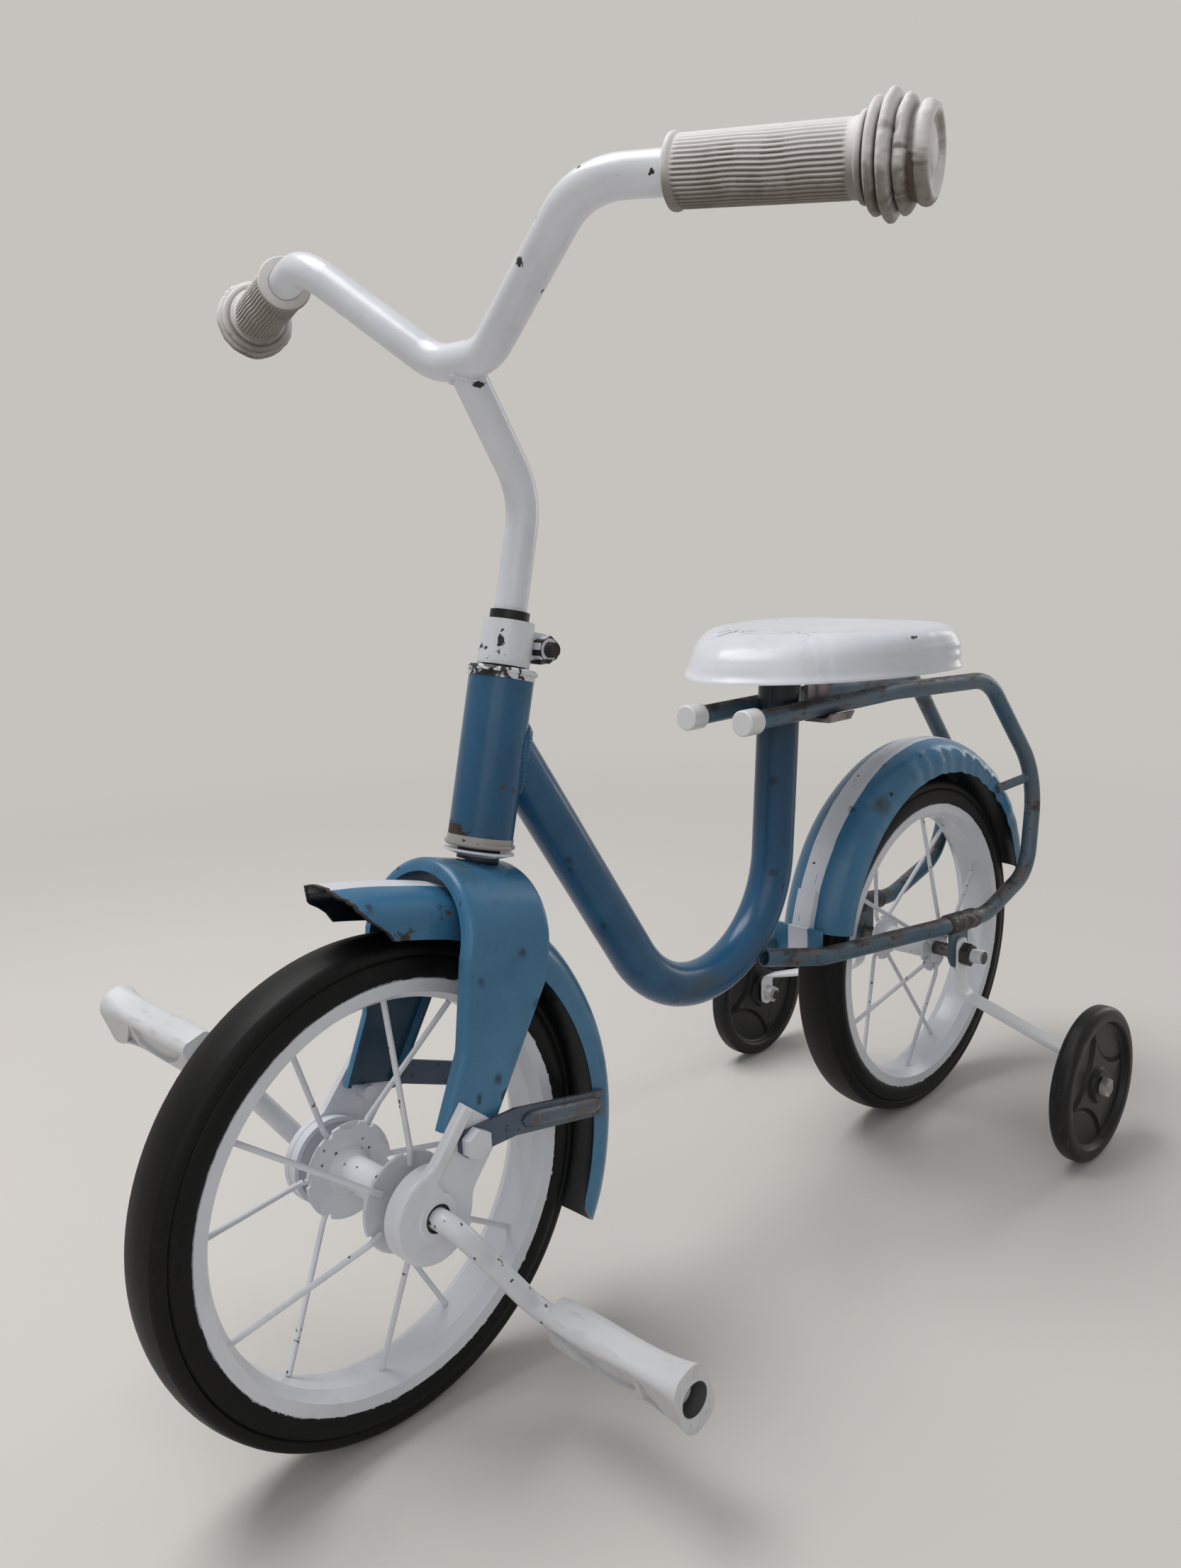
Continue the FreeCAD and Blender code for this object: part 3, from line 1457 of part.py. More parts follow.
def loop_points():
    """One side loop, from the rail's front end round the back and forward to the main tube.

    Each row gives the width past the rails, the length from the rear axle and the height
    under the rails as shares of the loop's own sizes.
    """
    gap = float(S["rail_half_gap"])
    spread = S["loop_half_width"] - gap
    back = float(S["loop_back_reach"])
    drop = RAIL_Z - LOOP_LOW_Z
    shares = (
        (0.0, -S["rail_front"] / back, 0.0),
        (0.0, -0.508, -0.006),
        (0.552, 0.441, 0.012),
        (0.718, 1.068, 0.491),
        (1.0, 0.898, 0.919),
        (1.055, 0.339, 1.029),
        (1.055, -0.254, 0.994),
        (0.006, -1.237, 0.965),
        ((S["loop_end_half_gap"] - gap) / spread, -S["loop_front_reach"] / back, 0.913),
    )
    return [
        Vector(gap + spread * wide, REAR_Y + back * along, RAIL_Z - drop * down)
        for wide, along, down in shares
    ]


def side_loops(tube_shape, fender_shape):
    """Tubes bent in space, each with a lug for the axle and a stub to the fender."""
    points = loop_points()
    bend_shares = (1.271, 0.356, 0.508, 0.288, 0.508, 0.678, 0.508)
    bends = [float(S["loop_back_reach"]) * share for share in bend_shares]
    path = bent_path(points, bends)
    solid = swept_rod(path, S["loop_radius"])
    hollow = swept_rod(path, S["loop_radius"] - S["loop_wall"])
    lug_radius = float(S["axle_lug_radius"])
    low_x = S["loop_half_width"] - S["axle_lug_inner"]
    high_x = S["loop_half_width"] + S["axle_lug_wall"] - S["fit_gap"]
    disc = rod(Vector(low_x, REAR_Y, AXLE_Z), Vector(high_x, REAR_Y, AXLE_Z), lug_radius)
    corner = Vector(low_x, REAR_Y - lug_radius, AXLE_Z)
    web = Part.makeBox(high_x - low_x, lug_radius * 2, LOOP_LOW_Z - AXLE_Z, corner)
    axle_hole = rod(REAR_HUB, REAR_HUB + X_AXIS * (high_x * 2), S["axle_radius"] + S["fit_gap"])
    lug = disc.fuse(web).cut(axle_hole).cut(solid)
    bulge = points[3]
    back_end = Vector(bulge.x, bulge.y - S["loop_radius"] * 1.6, bulge.z)
    stub_y = REAR_Y + S["loop_back_reach"] * 0.7
    fender_end = Vector(S["fender_half_width"], stub_y, bulge.z - S["loop_radius"])
    stub = rod(fender_end, back_end, S["stub_radius"]).cut(fender_shape).cut(solid)
    stub = max(stub.Solids, key=lambda piece: piece.Volume)
    loop = solid.cut(hollow).cut(tube_shape).fuse(lug).fuse(stub)
    both_sides(shape_feature("side_loop_left", loop), "side_loop")
    image = solid.mirror(Vector(0, 0, 0), X_AXIS)

    radius = S["cap_radius"]
    edge = S["cap_edge"]
    bore = S["loop_radius"] + S["clamp_gap"]
    floor = S["cap_end"]
    length = S["cap_length"]
    cap = turned_body(
        "rail_cap_left",
        [
            (ZERO, ZERO),
            (radius - edge, ZERO),
            (radius, edge, radius - edge * 0.293, edge * 0.293),
            (radius, length),
            (bore, length),
            (bore, floor - S["fit_gap"]),
            (ZERO, floor - S["fit_gap"]),
        ],
    )
    front = REAR_Y - S["rail_front"] - floor
    both_sides(place(cap, S["rail_half_gap"], front, RAIL_Z, ALONG_Y), "rail_cap")
    return solid, image


def seat_plan(inset, height):
    """The seat's rounded shield outline, drawn in by an inset, at a height."""
    wide = S["seat_half_width"] - inset
    nose = S["seat_nose_half_width"] - inset * 0.7
    front = inset - S["seat_front"]
    length = S["seat_length"] - inset * 2
    half = [
        (nose, 0.08),
        (wide * 0.86, 0.37),
        (wide, 0.66),
        (wide * 0.9, 0.88),
        (wide * 0.55, 0.98),
    ]
    row = [(0.0, 0.0)] + half + [(0.0, 1.0)] + [(-x, along) for x, along in reversed(half)]
    points = [Vector(x, REAR_Y + front + length * along, height) for x, along in row]
    curve = Part.BSplineCurve()
    curve.interpolate(points, PeriodicFlag=True)
    return Part.Wire([curve.toShape()])


def seat():
    """A pressed shell with a flared lip, carried by a strap that hooks under the rails."""
    rim = float(SEAT_RIM_Z)
    tall = float(S["seat_height"])
    wall = float(S["seat_wall"])
    insets = ((0.0, 0.0), (1.0, 0.09), (1.6, 0.2), (2.4, 0.6), (7.5, 0.88), (18.0, 1.0))
    rows = [(wall * walls, share) for walls, share in insets]
    outer = Part.makeLoft([seat_plan(inset, rim + tall * share) for inset, share in rows], True)
    lowered = [(inset + wall, rim + tall * share - (wall if share > 0.7 else 0.0)) for inset, share in rows]
    lowered[0] = (wall, rim - wall)
    inner = Part.makeLoft([seat_plan(inset, height) for inset, height in lowered], True)
    node(shape_feature("seat_shell", outer.cut(inner)), "seat_shell")

    strap = S["bracket_wall"]
    leg = S["rail_half_gap"] - S["loop_radius"] - S["seat_gap"]
    top = SEAT_RIM_Z + S["seat_height"] - S["seat_wall"] - S["seat_gap"]
    sole = RAIL_Z - S["loop_radius"] - S["clamp_gap"]
    toe = leg + S["bracket_foot"]
    lip = S["bracket_lip"]
    outside = [(leg, top), (leg, sole), (toe, sole), (toe + lip, sole + lip), (toe + lip + strap, sole + lip)]
    inside = [(toe + strap, sole - strap), (leg - strap, sole - strap), (leg - strap, top - strap)]
    right = outside + inside
    left = [(-x, z) for x, z in reversed(right)]
    body = new_body("seat_bracket")
    back = S["bracket_setback"] - S["bracket_width"] / 2
    slab(body, "bracket_strap", "XZ_Plane", [right + left], back, back + S["bracket_width"])
    node(place(body, ZERO, REAR_Y, ZERO), "seat_bracket")


# Rear axle and stabilisers


def rear_axle():
    half = S["axle_half_length"]
    lug_face = S["loop_half_width"] + S["axle_lug_wall"]
    nut_face = lug_face + S["arm_wall"] + S["fit_gap"]
    nut_end = nut_face + S["nut_thickness"]
    shoulder = nut_end + S["seat_gap"]
    radius = S["axle_radius"]
    tip = S["axle_tip_radius"]
    axle = turned_body(
        "rear_axle",
        [
            (ZERO, -half),
            (tip, -half),
            (tip, -shoulder),
            (radius, -shoulder),
            (radius, shoulder),
            (tip, shoulder),
            (tip, half),
            (ZERO, half),
        ],
    )
    node(place(axle, ZERO, REAR_Y, AXLE_Z, ALONG_X), "rear_axle")
    nut = stacked_body("axle_nut_left", [("hexagon", S["nut_width"], nut_face, nut_end)])
    drill(nut, "axle_nut_bore", radius + S["fit_gap"] / 2, nut_end * 2, Vector(0, 0, 0), Z_AXIS)
    both_sides(place(nut, ZERO, REAR_Y, AXLE_Z, ALONG_X), "axle_nut")
    stabiliser_arms(lug_face)


def stabiliser_arms(lug_face):
    """Bent straps that hang from the axle and carry the small wheels on bolts."""
    wall = S["arm_wall"]
    track = S["stabiliser_half_track"]
    half_wheel = S["stabiliser_half_width"]
    foot_z = S["stabiliser_radius"] - AXLE_Z
    end_x = track - half_wheel - wall - S["seat_gap"] * 3
    knee = -S["arm_knee_drop"]
    ankle = knee - S["arm_slope_drop"]
    toe = foot_z - S["arm_width"] * 0.66
    slope = wall / 3
    body = new_body("stabiliser_arm_left")
    bend = [
        (lug_face, S["arm_top"]),
        (lug_face, knee),
        (end_x, ankle),
        (end_x, toe),
        (end_x + wall, toe),
        (end_x + wall, ankle + slope),
        (lug_face + wall, knee + slope),
        (lug_face + wall, S["arm_top"]),
    ]
    half = S["arm_width"] / 2
    slab(body, "arm_strap", "XZ_Plane", [bend], -half, half)
    past = track * 2
    axle_hole = (ZERO, ZERO, S["axle_radius"] + S["clamp_gap"])
    cut_slab(body, "arm_axle_hole", "YZ_Plane", [axle_hole], ZERO, lug_face * 1.5)
    bolt_hole = (ZERO, foot_z, S["stabiliser_bolt_radius"] + S["clamp_gap"])
    cut_slab(body, "arm_bolt_hole", "YZ_Plane", [bolt_hole], ZERO, past)
    both_sides(place(body, ZERO, REAR_Y, AXLE_Z), "stabiliser_arm")

    nut_face = end_x - S["fit_gap"]
    head_low = track + half_wheel + S["seat_gap"]
    bolt = stacked_body(
        "stabiliser_bolt_left",
        [
            (
                "rod",
                S["stabiliser_bolt_radius"],
                nut_face - S["stabiliser_nut_height"] * 1.3,
                head_low + S["fit_gap"],
            ),
            ("hexagon", S["stabiliser_bolt_head"], nut_face - S["stabiliser_nut_height"], nut_face),
            ("hexagon", S["stabiliser_bolt_head"], head_low, head_low + S["stabiliser_head_height"]),
        ],
    )
    both_sides(place(bolt, ZERO, REAR_Y, S["stabiliser_radius"], ALONG_X), "stabiliser_bolt")


def stabiliser_wheel():
    """A moulded wheel with a thin web, stiffened by arms with hollow sides."""
    half = S["stabiliser_half_width"]
    edge = S["stabiliser_edge"]
    outer = S["stabiliser_radius"]
    bore = S["stabiliser_bolt_radius"] + S["running_clearance"]
    hub_radius = S["stabiliser_hub_radius"]
    rim_inner = outer - S["stabiliser_rim"]
    web = half - S["stabiliser_web"]
    slope = S["stabiliser_web"] * 0.8
    round_off = edge * 0.293
    body = turned_body(
        "stabiliser_wheel_left",
        [
            (bore, -half),
            (hub_radius, -half),
            (hub_radius + slope, -web),
            (rim_inner - slope, -web),
            (rim_inner, -half),
            (outer - edge, -half),
            (outer, edge - half, outer - round_off, round_off - half),
            (outer, half - edge),
            (outer - edge, half, outer - round_off, half - round_off),
            (rim_inner, half),
            (rim_inner - slope, web),
            (hub_radius + slope, web),
            (hub_radius, half),
            (bore, half),
        ],
    )
    step = Size(180.0, "180") / S["stabiliser_arms"]
    tip = rim_inner + slope / 2
    flank = slope
    waist = hub_radius + slope
    # Each arm's foot reaches a little past its neighbour's, so that their hollow sides cross.
    spread = step * 1.12
    arm = [
        (hub_radius * 0.6, ZERO),
        (waist * cosine(spread), -(waist * sine(spread))),
        (tip, -flank, tip * 0.55, -(hub_radius * 0.62)),
        (tip, flank),
        (waist * cosine(spread), waist * sine(spread), tip * 0.55, hub_radius * 0.62),
    ]
    arm_half = half - S["stabiliser_web"] / 3
    arm_pad = slab(body, "wheel_arm", "XY_Plane", [arm], -arm_half, arm_half)
    repeat_round(body, arm_pad, "wheel_arms", S["stabiliser_arms"])
    drill(body, "wheel_bore", bore, half * 4, Vector(0, 0, -half * 2), Z_AXIS)
    track = S["stabiliser_half_track"]
    both_sides(place(body, track, REAR_Y, S["stabiliser_radius"], ALONG_X), "stabiliser_wheel")


wheels()
crank()
pedals()
head_bearings()
steerer()
stem_clamp()
handlebar()
stem()
grips()
fork()
fork_ends()
front_fender()
tube_room = main_tube()
rear_fender_shape = rear_fender()
loop_solids = side_loops(tube_room, rear_fender_shape)
fender_bridge(rear_fender_shape, loop_solids, tube_room)
seat()
rear_axle()
stabiliser_wheel()
document.recompute()

for thing in document.Objects:
    if "Invalid" in thing.State or "Error" in thing.State:
        raise RuntimeError(f"{thing.Label} did not compute: {thing.State}")
for thing in NODES:
    if thing.Shape.isNull() or not thing.Shape.isValid():
        raise RuntimeError(f"{thing.Label} has no valid shape")

os.makedirs("parts", exist_ok=True)
whole = FreeCAD.BoundBox()
for thing in NODES:
    thing.Shape.exportStep(f"parts/{thing.Label}.step")
    whole.add(thing.Shape.BoundBox)
print(f"{len(NODES)} pieces, from {whole.XMin:.1f} {whole.YMin:.1f} {whole.ZMin:.1f}")
print(f"to {whole.XMax:.1f} {whole.YMax:.1f} {whole.ZMax:.1f}")
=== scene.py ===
import json
import math
import random

import bmesh
import bpy
import numpy
from mathutils import Matrix, Vector, noise
from mathutils.bvhtree import BVHTree

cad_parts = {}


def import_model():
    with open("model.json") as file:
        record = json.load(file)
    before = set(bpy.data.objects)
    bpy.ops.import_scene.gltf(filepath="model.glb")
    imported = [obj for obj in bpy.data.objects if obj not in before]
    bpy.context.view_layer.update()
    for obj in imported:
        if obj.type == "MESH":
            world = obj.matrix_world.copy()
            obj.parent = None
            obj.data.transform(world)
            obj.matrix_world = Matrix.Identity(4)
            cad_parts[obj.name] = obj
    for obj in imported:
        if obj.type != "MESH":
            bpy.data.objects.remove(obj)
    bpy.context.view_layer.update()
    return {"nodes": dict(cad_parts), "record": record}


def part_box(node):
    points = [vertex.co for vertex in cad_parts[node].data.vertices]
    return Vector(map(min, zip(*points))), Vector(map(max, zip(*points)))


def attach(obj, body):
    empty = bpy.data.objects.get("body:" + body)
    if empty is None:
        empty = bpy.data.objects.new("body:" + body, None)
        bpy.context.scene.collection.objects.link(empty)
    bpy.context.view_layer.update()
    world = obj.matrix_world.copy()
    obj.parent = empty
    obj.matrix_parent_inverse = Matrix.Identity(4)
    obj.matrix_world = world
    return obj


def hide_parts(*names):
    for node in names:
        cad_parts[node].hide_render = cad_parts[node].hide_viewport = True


# A small child's bicycle: pedals on the front wheel, two stabiliser wheels at the back.
# Metres, +Z up, the rider faces -Y and the rider's left is +X.

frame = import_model()

SCENE = bpy.context.scene
NODES = frame["nodes"]
RECORD = frame["record"]
MOTION = RECORD["behaviour"]
JOINTS = {joint["name"]: Vector(joint["pos_m"]) for joint in MOTION["joints"]}
BODY_OF = {node: body for body, nodes in MOTION["bodies"].items() for node in nodes}
SLOT_OF = {part["node"]: part["material_slot"] for part in RECORD["subparts"]}
FRONT_HUB = JOINTS["front_wheel_spin"]
REAR_HUB = JOINTS["rear_wheel_spin"]
PEDAL_AXES = [place for name, place in JOINTS.items() if name.startswith("pedal_")]
SIDES = (("left", 1.0), ("right", -1.0))
MM = 0.001
SEED = 11


def clamp(value):
    return min(1.0, max(0.0, value))


def bell(place, middle, width):
    """A bell curve that is 1 at its middle."""
    return math.exp(-(((place - middle) / width) ** 2))


def around(count):
    """The angles of a full turn in equal steps."""
    return [math.tau * step / count for step in range(count)]


def mirrored(point, sign):
    return Vector((point.x * sign, point.y, point.z))


def linear(*colour):
    """A colour as it looks on screen, from 0 to 255, as the shader's own numbers."""
    values = []
    for channel in colour:
        share = channel / 255
        values.append(share / 12.92 if share <= 0.04045 else ((share + 0.055) / 1.055) ** 2.4)
    return (*values, 1.0)


# Materials

MATERIALS = {}


class Nodes:
    """A node tree, with short calls for the nodes used here."""

    def __init__(self, owner):
        owner.use_nodes = True
        self.owner = owner
        self.tree = owner.node_tree
        self.place = self.add("ShaderNodeTexCoord")["Object"]

    def fill(self, node, inputs):
        """Set a node's inputs to values, or link them to other nodes."""
        for key, value in inputs.items():
            if isinstance(value, bpy.types.NodeSocket):
                self.tree.links.new(value, node.inputs[key])
            elif value is not None:
                node.inputs[key].default_value = value

    def add(self, kind, inputs=(), **settings):
        """Add a node and return its outputs."""
        node = self.tree.nodes.new(kind)
        for key, value in settings.items():
            setattr(node, key, value)
        self.fill(node, dict(inputs))
        return node.outputs

    def noise(self, scale, detail=4.0, rough=0.55, warp=0.0, vector=None):
        inputs = {"Vector": vector or self.place, "Scale": scale, "Detail": detail}
        inputs |= {"Roughness": rough, "Distortion": warp}
        return self.add("ShaderNodeTexNoise", inputs)["Fac"]

    def streaks(self, detail, rough, scales):
        """Noise with its own scale along each axis."""
        stretched = self.add("ShaderNodeMapping", {"Vector": self.place, "Scale": scales})
        return self.noise(1.0, detail, rough, vector=stretched["Vector"])

    def step(self, value, low, high, invert=False):
        """A soft step from 0 at low to 1 at high, or the other way round."""
        inputs = {"Value": value, "From Min": low, "From Max": high}
        inputs |= {"To Min": float(invert), "To Max": float(not invert)}
        return self.add("ShaderNodeMapRange", inputs, interpolation_type="SMOOTHSTEP")["Result"]

    def spread(self, value, low, high):
        """Map 0 to 1 onto low to high."""
        inputs = {"Value": value, "To Min": low, "To Max": high}
        return self.add("ShaderNodeMapRange", inputs)["Result"]

    def sum(self, kind, *values):
        """One kind of arithmetic with all the values in turn."""
        total = values[0]
        for value in values[1:]:
            total = self.add("ShaderNodeMath", {0: total, 1: value}, operation=kind)["Value"]
        return total

    def plus(self, *values):
        return self.sum("ADD", *values)

    def times(self, *values):
        return self.sum("MULTIPLY", *values)

    def most(self, *values):
        return self.sum("MAXIMUM", *values)

    def mix(self, share, first, second):
        """A colour between two colours, by a mask."""
        return self.add("ShaderNodeMix", {0: share, 6: first, 7: second}, data_type="RGBA")[2]

    def grey(self, share, first, second):
        """A number between two numbers, by a mask."""
        return self.add("ShaderNodeMix", {0: share, 2: first, 3: second}, data_type="FLOAT")[0]

    def separate(self, vector):
        return self.add("ShaderNodeSeparateXYZ", {0: vector})

    def vector(self, kind, first, second=(0, 0, 0)):
        return self.add("ShaderNodeVectorMath", {0: first, 1: second}, operation=kind)

    def reach(self, spot, kind, scales):
        """The distance from a spot, with each axis multiplied or divided first."""
        away = self.vector("SUBTRACT", self.place, spot)[0]
        return self.vector("LENGTH", self.vector(kind, away, scales)[0])[1]

    def painted(self, name):
        """A mask that the mesh itself carries, zero where it has none."""
        return self.add("ShaderNodeAttribute", attribute_name=name)["Fac"]

    def facing(self, low, high, invert=False):
        """How far the surface faces up."""
        normal = self.add("ShaderNodeNewGeometry")["Normal"]
        return self.step(self.separate(normal)[2], low, high, invert)

    def dots(self, scale, radius, share, core=0.8):
        """Small ragged spots in a share of a cell pattern's cells, soft outside their core."""
        wander = self.add("ShaderNodeTexNoise", {"Vector": self.place, "Scale": scale * 2.5})
        inputs = {0: wander["Color"], "Scale": 0.5 / scale}
        shift = self.add("ShaderNodeVectorMath", inputs, operation="SCALE")[0]
        moved = self.vector("ADD", self.place, shift)[0]
        cells = self.add("ShaderNodeTexVoronoi", {"Vector": moved, "Scale": scale})
        chosen = self.step(self.separate(cells["Color"])[0], 1.0 - share, 1.001 - share)
        near = self.step(cells["Distance"], radius * core, radius, invert=True)
        return self.times(near, chosen)

    def oval(self, place):
        """How far out a point lies in an oval given in millimetres: 1 on its edge."""
        numbers = [number * MM for number in place]
        return self.reach(numbers[:3], "DIVIDE", numbers[3:])

    def mark(self, place, ragged=0.95):
        """One ragged worn place."""
        rough = self.times(self.noise(240.0, 4.0, 0.7, warp=0.5), ragged * 2)
        edge = self.plus(self.oval(place), rough)
        return self.step(edge, 0.94 + ragged, 1.04 + ragged, invert=True)

    def haze(self, place):
        """A soft soiled place, thickest in its middle."""
        near = self.step(self.oval(place), 0.2, 1.0, invert=True)
        return self.times(near, self.step(self.noise(120.0, 5.0, 0.7), 0.3, 0.62))

    def bump(self, height, strength, distance, onto=None):
        inputs = {"Height": height, "Strength": strength, "Distance": distance, "Normal": onto}
        return self.add("ShaderNodeBump", inputs)["Normal"]

    def finish(self, colour, rough, normal=None, metal=0.0, coat=0.0, specular=0.5):
        inputs = {"Base Color": colour, "Roughness": rough, "Metallic": metal, "Normal": normal}
        inputs |= {"Coat Weight": coat, "Coat Roughness": 0.12, "Specular IOR Level": specular}
        self.fill(self.tree.nodes["Principled BSDF"], inputs)


def material(name):
    MATERIALS[name] = bpy.data.materials.new(name)
    return Nodes(MATERIALS[name])


BLUE = linear(58, 110, 145)
BLUE_DARK = linear(34, 76, 106)
BLUE_LIGHT = linear(70, 122, 155)
TUBE_BLUE = linear(34, 82, 116)
TUBE_DARK = linear(22, 56, 84)
TUBE_LIGHT = linear(48, 98, 132)
BLUE_BLACK = linear(16, 24, 30)
BLUE_WORN = linear(54, 88, 110)
BLUE_GREY = linear(78, 94, 106)
STAY_BLUE = linear(62, 76, 98)
BARE = linear(46, 42, 40)
RUST = linear(84, 60, 48)
SOIL = linear(70, 70, 58)
WHITE = linear(210, 213, 220)
WHITE_LIGHT = linear(220, 222, 228)
WHITE_BRIGHT = linear(236, 237, 240)
WHITE_DULL = linear(186, 186, 187)
STAIN = linear(122, 108, 96)
PRIMER = linear(26, 24, 26)
BLACK = linear(17, 17, 19)
SCUFF = linear(92, 90, 88)
TYRE = linear(8, 8, 9)
TYRE_DUST = linear(40, 38, 37)
RUBBER = linear(226, 222, 219)
RUBBER_DIRT = linear(92, 82, 73)
STEEL = linear(128, 125, 123)
STEEL_DARK = linear(60, 57, 56)
BROWN_STEEL = linear(98, 92, 91)
OLD_STEEL = linear(58, 54, 53)
RUSTY_STEEL = linear(74, 68, 65)
CUP_METAL = linear(160, 156, 152)
STRAP_METAL = linear(164, 152, 150)
ZINC = linear(218, 218, 220)
TAPE = linear(66, 64, 65)
TAPE_DARK = linear(30, 29, 30)
CAP_WHITE = linear(222, 222, 223)
PEDAL_WHITE = linear(208, 209, 211)
BLUES = (BLUE, BLUE_LIGHT, BLUE_DARK)
TUBE_BLUES = (TUBE_BLUE, TUBE_LIGHT, TUBE_DARK)
WHITES = (WHITE, WHITE_LIGHT, WHITE_DULL)
STRIPE_HALF = 8.0 * MM
SEAT_TUBE_FRONT = 0.03
RIM_EDGE = 0.1072
PEDAL_MOUTH = 8.2 * MM
PEDAL_MOUTH_START = 0.155
ACROSS_WHEEL = (0.0, 1.0, 1.0)


def paint(
    name, shades, wear, under, spots, places=(), hazes=(), stripe=None, soot_and_shade=None, bruises=0.0,
    gloss=(0.2, 0.2), dirt=0.5, specular=0.4,
):
    """Old hand-brushed paint with chips down to metal, dirt and faint runs, and painted shade where a look
    asks for it.
    """
    main, light, dark = shades
    made = material(name)
    base = made.mix(made.step(made.noise(9.0, 3.0), 0.4, 0.66), main, light)
    grime = made.noise(38.0, 5.0, 0.7)
    base = made.mix(made.times(made.step(grime, 0.5, 0.8), dirt), base, dark)
    smears = made.streaks(4.0, 0.65, (120.0, 120.0, 22.0))
    base = made.mix(made.times(made.step(smears, 0.58, 0.78), dirt * 0.5), base, dark)
    if stripe is not None:
        base = made.mix(stripe(made), base, WHITE)
    if bruises:
        base = made.mix(made.times(made.dots(84.0, 0.34, bruises, 0.25), 0.75), base, BLUE_BLACK)
    for place in hazes:
        base = made.mix(made.times(made.haze(place), 0.75), base, SOIL)
    # Painted shade from the look's own mask, with grease on the seat tube, darkens the paint towards near
    # black.
    if soot_and_shade is not None:
        base = made.mix(soot_and_shade(made), base, BLUE_BLACK)
    large = made.noise(22.0, 3.0, 0.6)
    small = made.noise(190.0, 5.0, 0.65, warp=0.6)
    chips = made.step(made.plus(made.times(large, 0.6), made.times(small, 0.4)), *wear)
    rubbed = made.plus(made.painted("worn"), made.spread(made.noise(300.0), -0.3, 0.3))
    marks = [made.mark(place) for place in places]
    gone = made.most(chips, made.dots(*spots), made.step(rubbed, 0.45, 0.52), *marks)
    metal = made.mix(made.step(made.noise(70.0), 0.4, 0.62), BARE, under)
    colour = made.mix(gone, base, metal)
    colour = made.mix(made.step(made.painted("inner"), 0.4, 0.6), colour, BLUE_BLACK)
    rough, coat = gloss
    matt = made.grey(gone, made.spread(grime, rough, rough + 0.16), 0.8)
    skin = made.bump(made.noise(130.0, 3.0, 0.5), 0.2, 0.0006)
    brushed = made.bump(smears, 0.12, 0.0004, skin)
    edge = made.bump(made.times(gone, -1.0), 0.6, 0.00035, brushed)
    made.finish(colour, matt, edge, coat=coat, specular=specular)


def centre_stripe(made):
    """A painted band along the fender's crown, with a hand-cut edge and scratches."""
    wander = made.spread(made.noise(26.0, 2.0), -0.0014, 0.0014)
    offset = made.sum("ABSOLUTE", made.plus(made.separate(made.place)[0], wander), 0.0)
    band = made.step(offset, STRIPE_HALF - 0.0002, STRIPE_HALF + 0.0002, invert=True)
    kept = made.step(made.streaks(3.0, 0.6, (700.0, 60.0, 60.0)), 0.68, 0.7, invert=True)
    return made.times(band, kept, made.step(made.painted("inner"), 0.4, 0.6, invert=True))


def seat_tube_soot_and_shadow(made):
    """The seat tube darkens upwards and is black at its open top: painted shadow from the seat, with black
    grease at the very top.
    """
    across, along, height = made.separate(made.place)[:3]
    dim = made.times(made.step(height, 0.19, 0.33), 0.55)
    black = made.times(made.step(height, 0.3, 0.338), 0.4)
    return made.times(made.plus(dim, black), made.step(along, SEAT_TUBE_FRONT, 0.04))


def fork_inside_shade(made):
    """The fork is darker where it faces the bicycle's middle plane: painted shade on its inner faces."""
    normal = made.add("ShaderNodeTexCoord")["Normal"]
    across = made.times(made.separate(normal)[0], made.separate(made.place)[0])
    return made.times(made.step(across, -0.03, -0.012, invert=True), 0.75)


def worn_blue(name, bare_share, blue, rust):
    """Rails and stays, where the blue has partly rubbed down to brown grey steel."""
    made = material(name)
    scars = made.streaks(4.0, 0.6, (260.0, 60.0, 260.0))
    left = made.plus(made.times(made.noise(24.0, 5.0, 0.65), 0.65), made.times(scars, 0.35))
    top = made.times(made.facing(0.1, 0.9), 0.1)
    rubbed = made.step(made.plus(left, top), 0.62 - bare_share * 0.2, 0.7 - bare_share * 0.2)
    bare = made.mix(made.step(made.noise(90.0), 0.4, 0.65), BROWN_STEEL, STEEL_DARK)
    bare = made.mix(made.times(made.step(made.noise(55.0), 0.6, 0.74), rust), bare, RUST)
    tone = made.mix(made.step(made.noise(14.0, 3.0), 0.4, 0.6), blue, BLUE_GREY)
    pits = made.dots(260.0, 0.3, 0.35)
    colour = made.mix(made.times(pits, 0.7), made.mix(rubbed, tone, bare), PRIMER)
    normal = made.bump(made.sum("SUBTRACT", left, made.times(pits, 0.3)), 0.4, 0.0005)
    made.finish(colour, made.grey(rubbed, 0.4, 0.56), normal, metal=made.times(rubbed, 0.4))


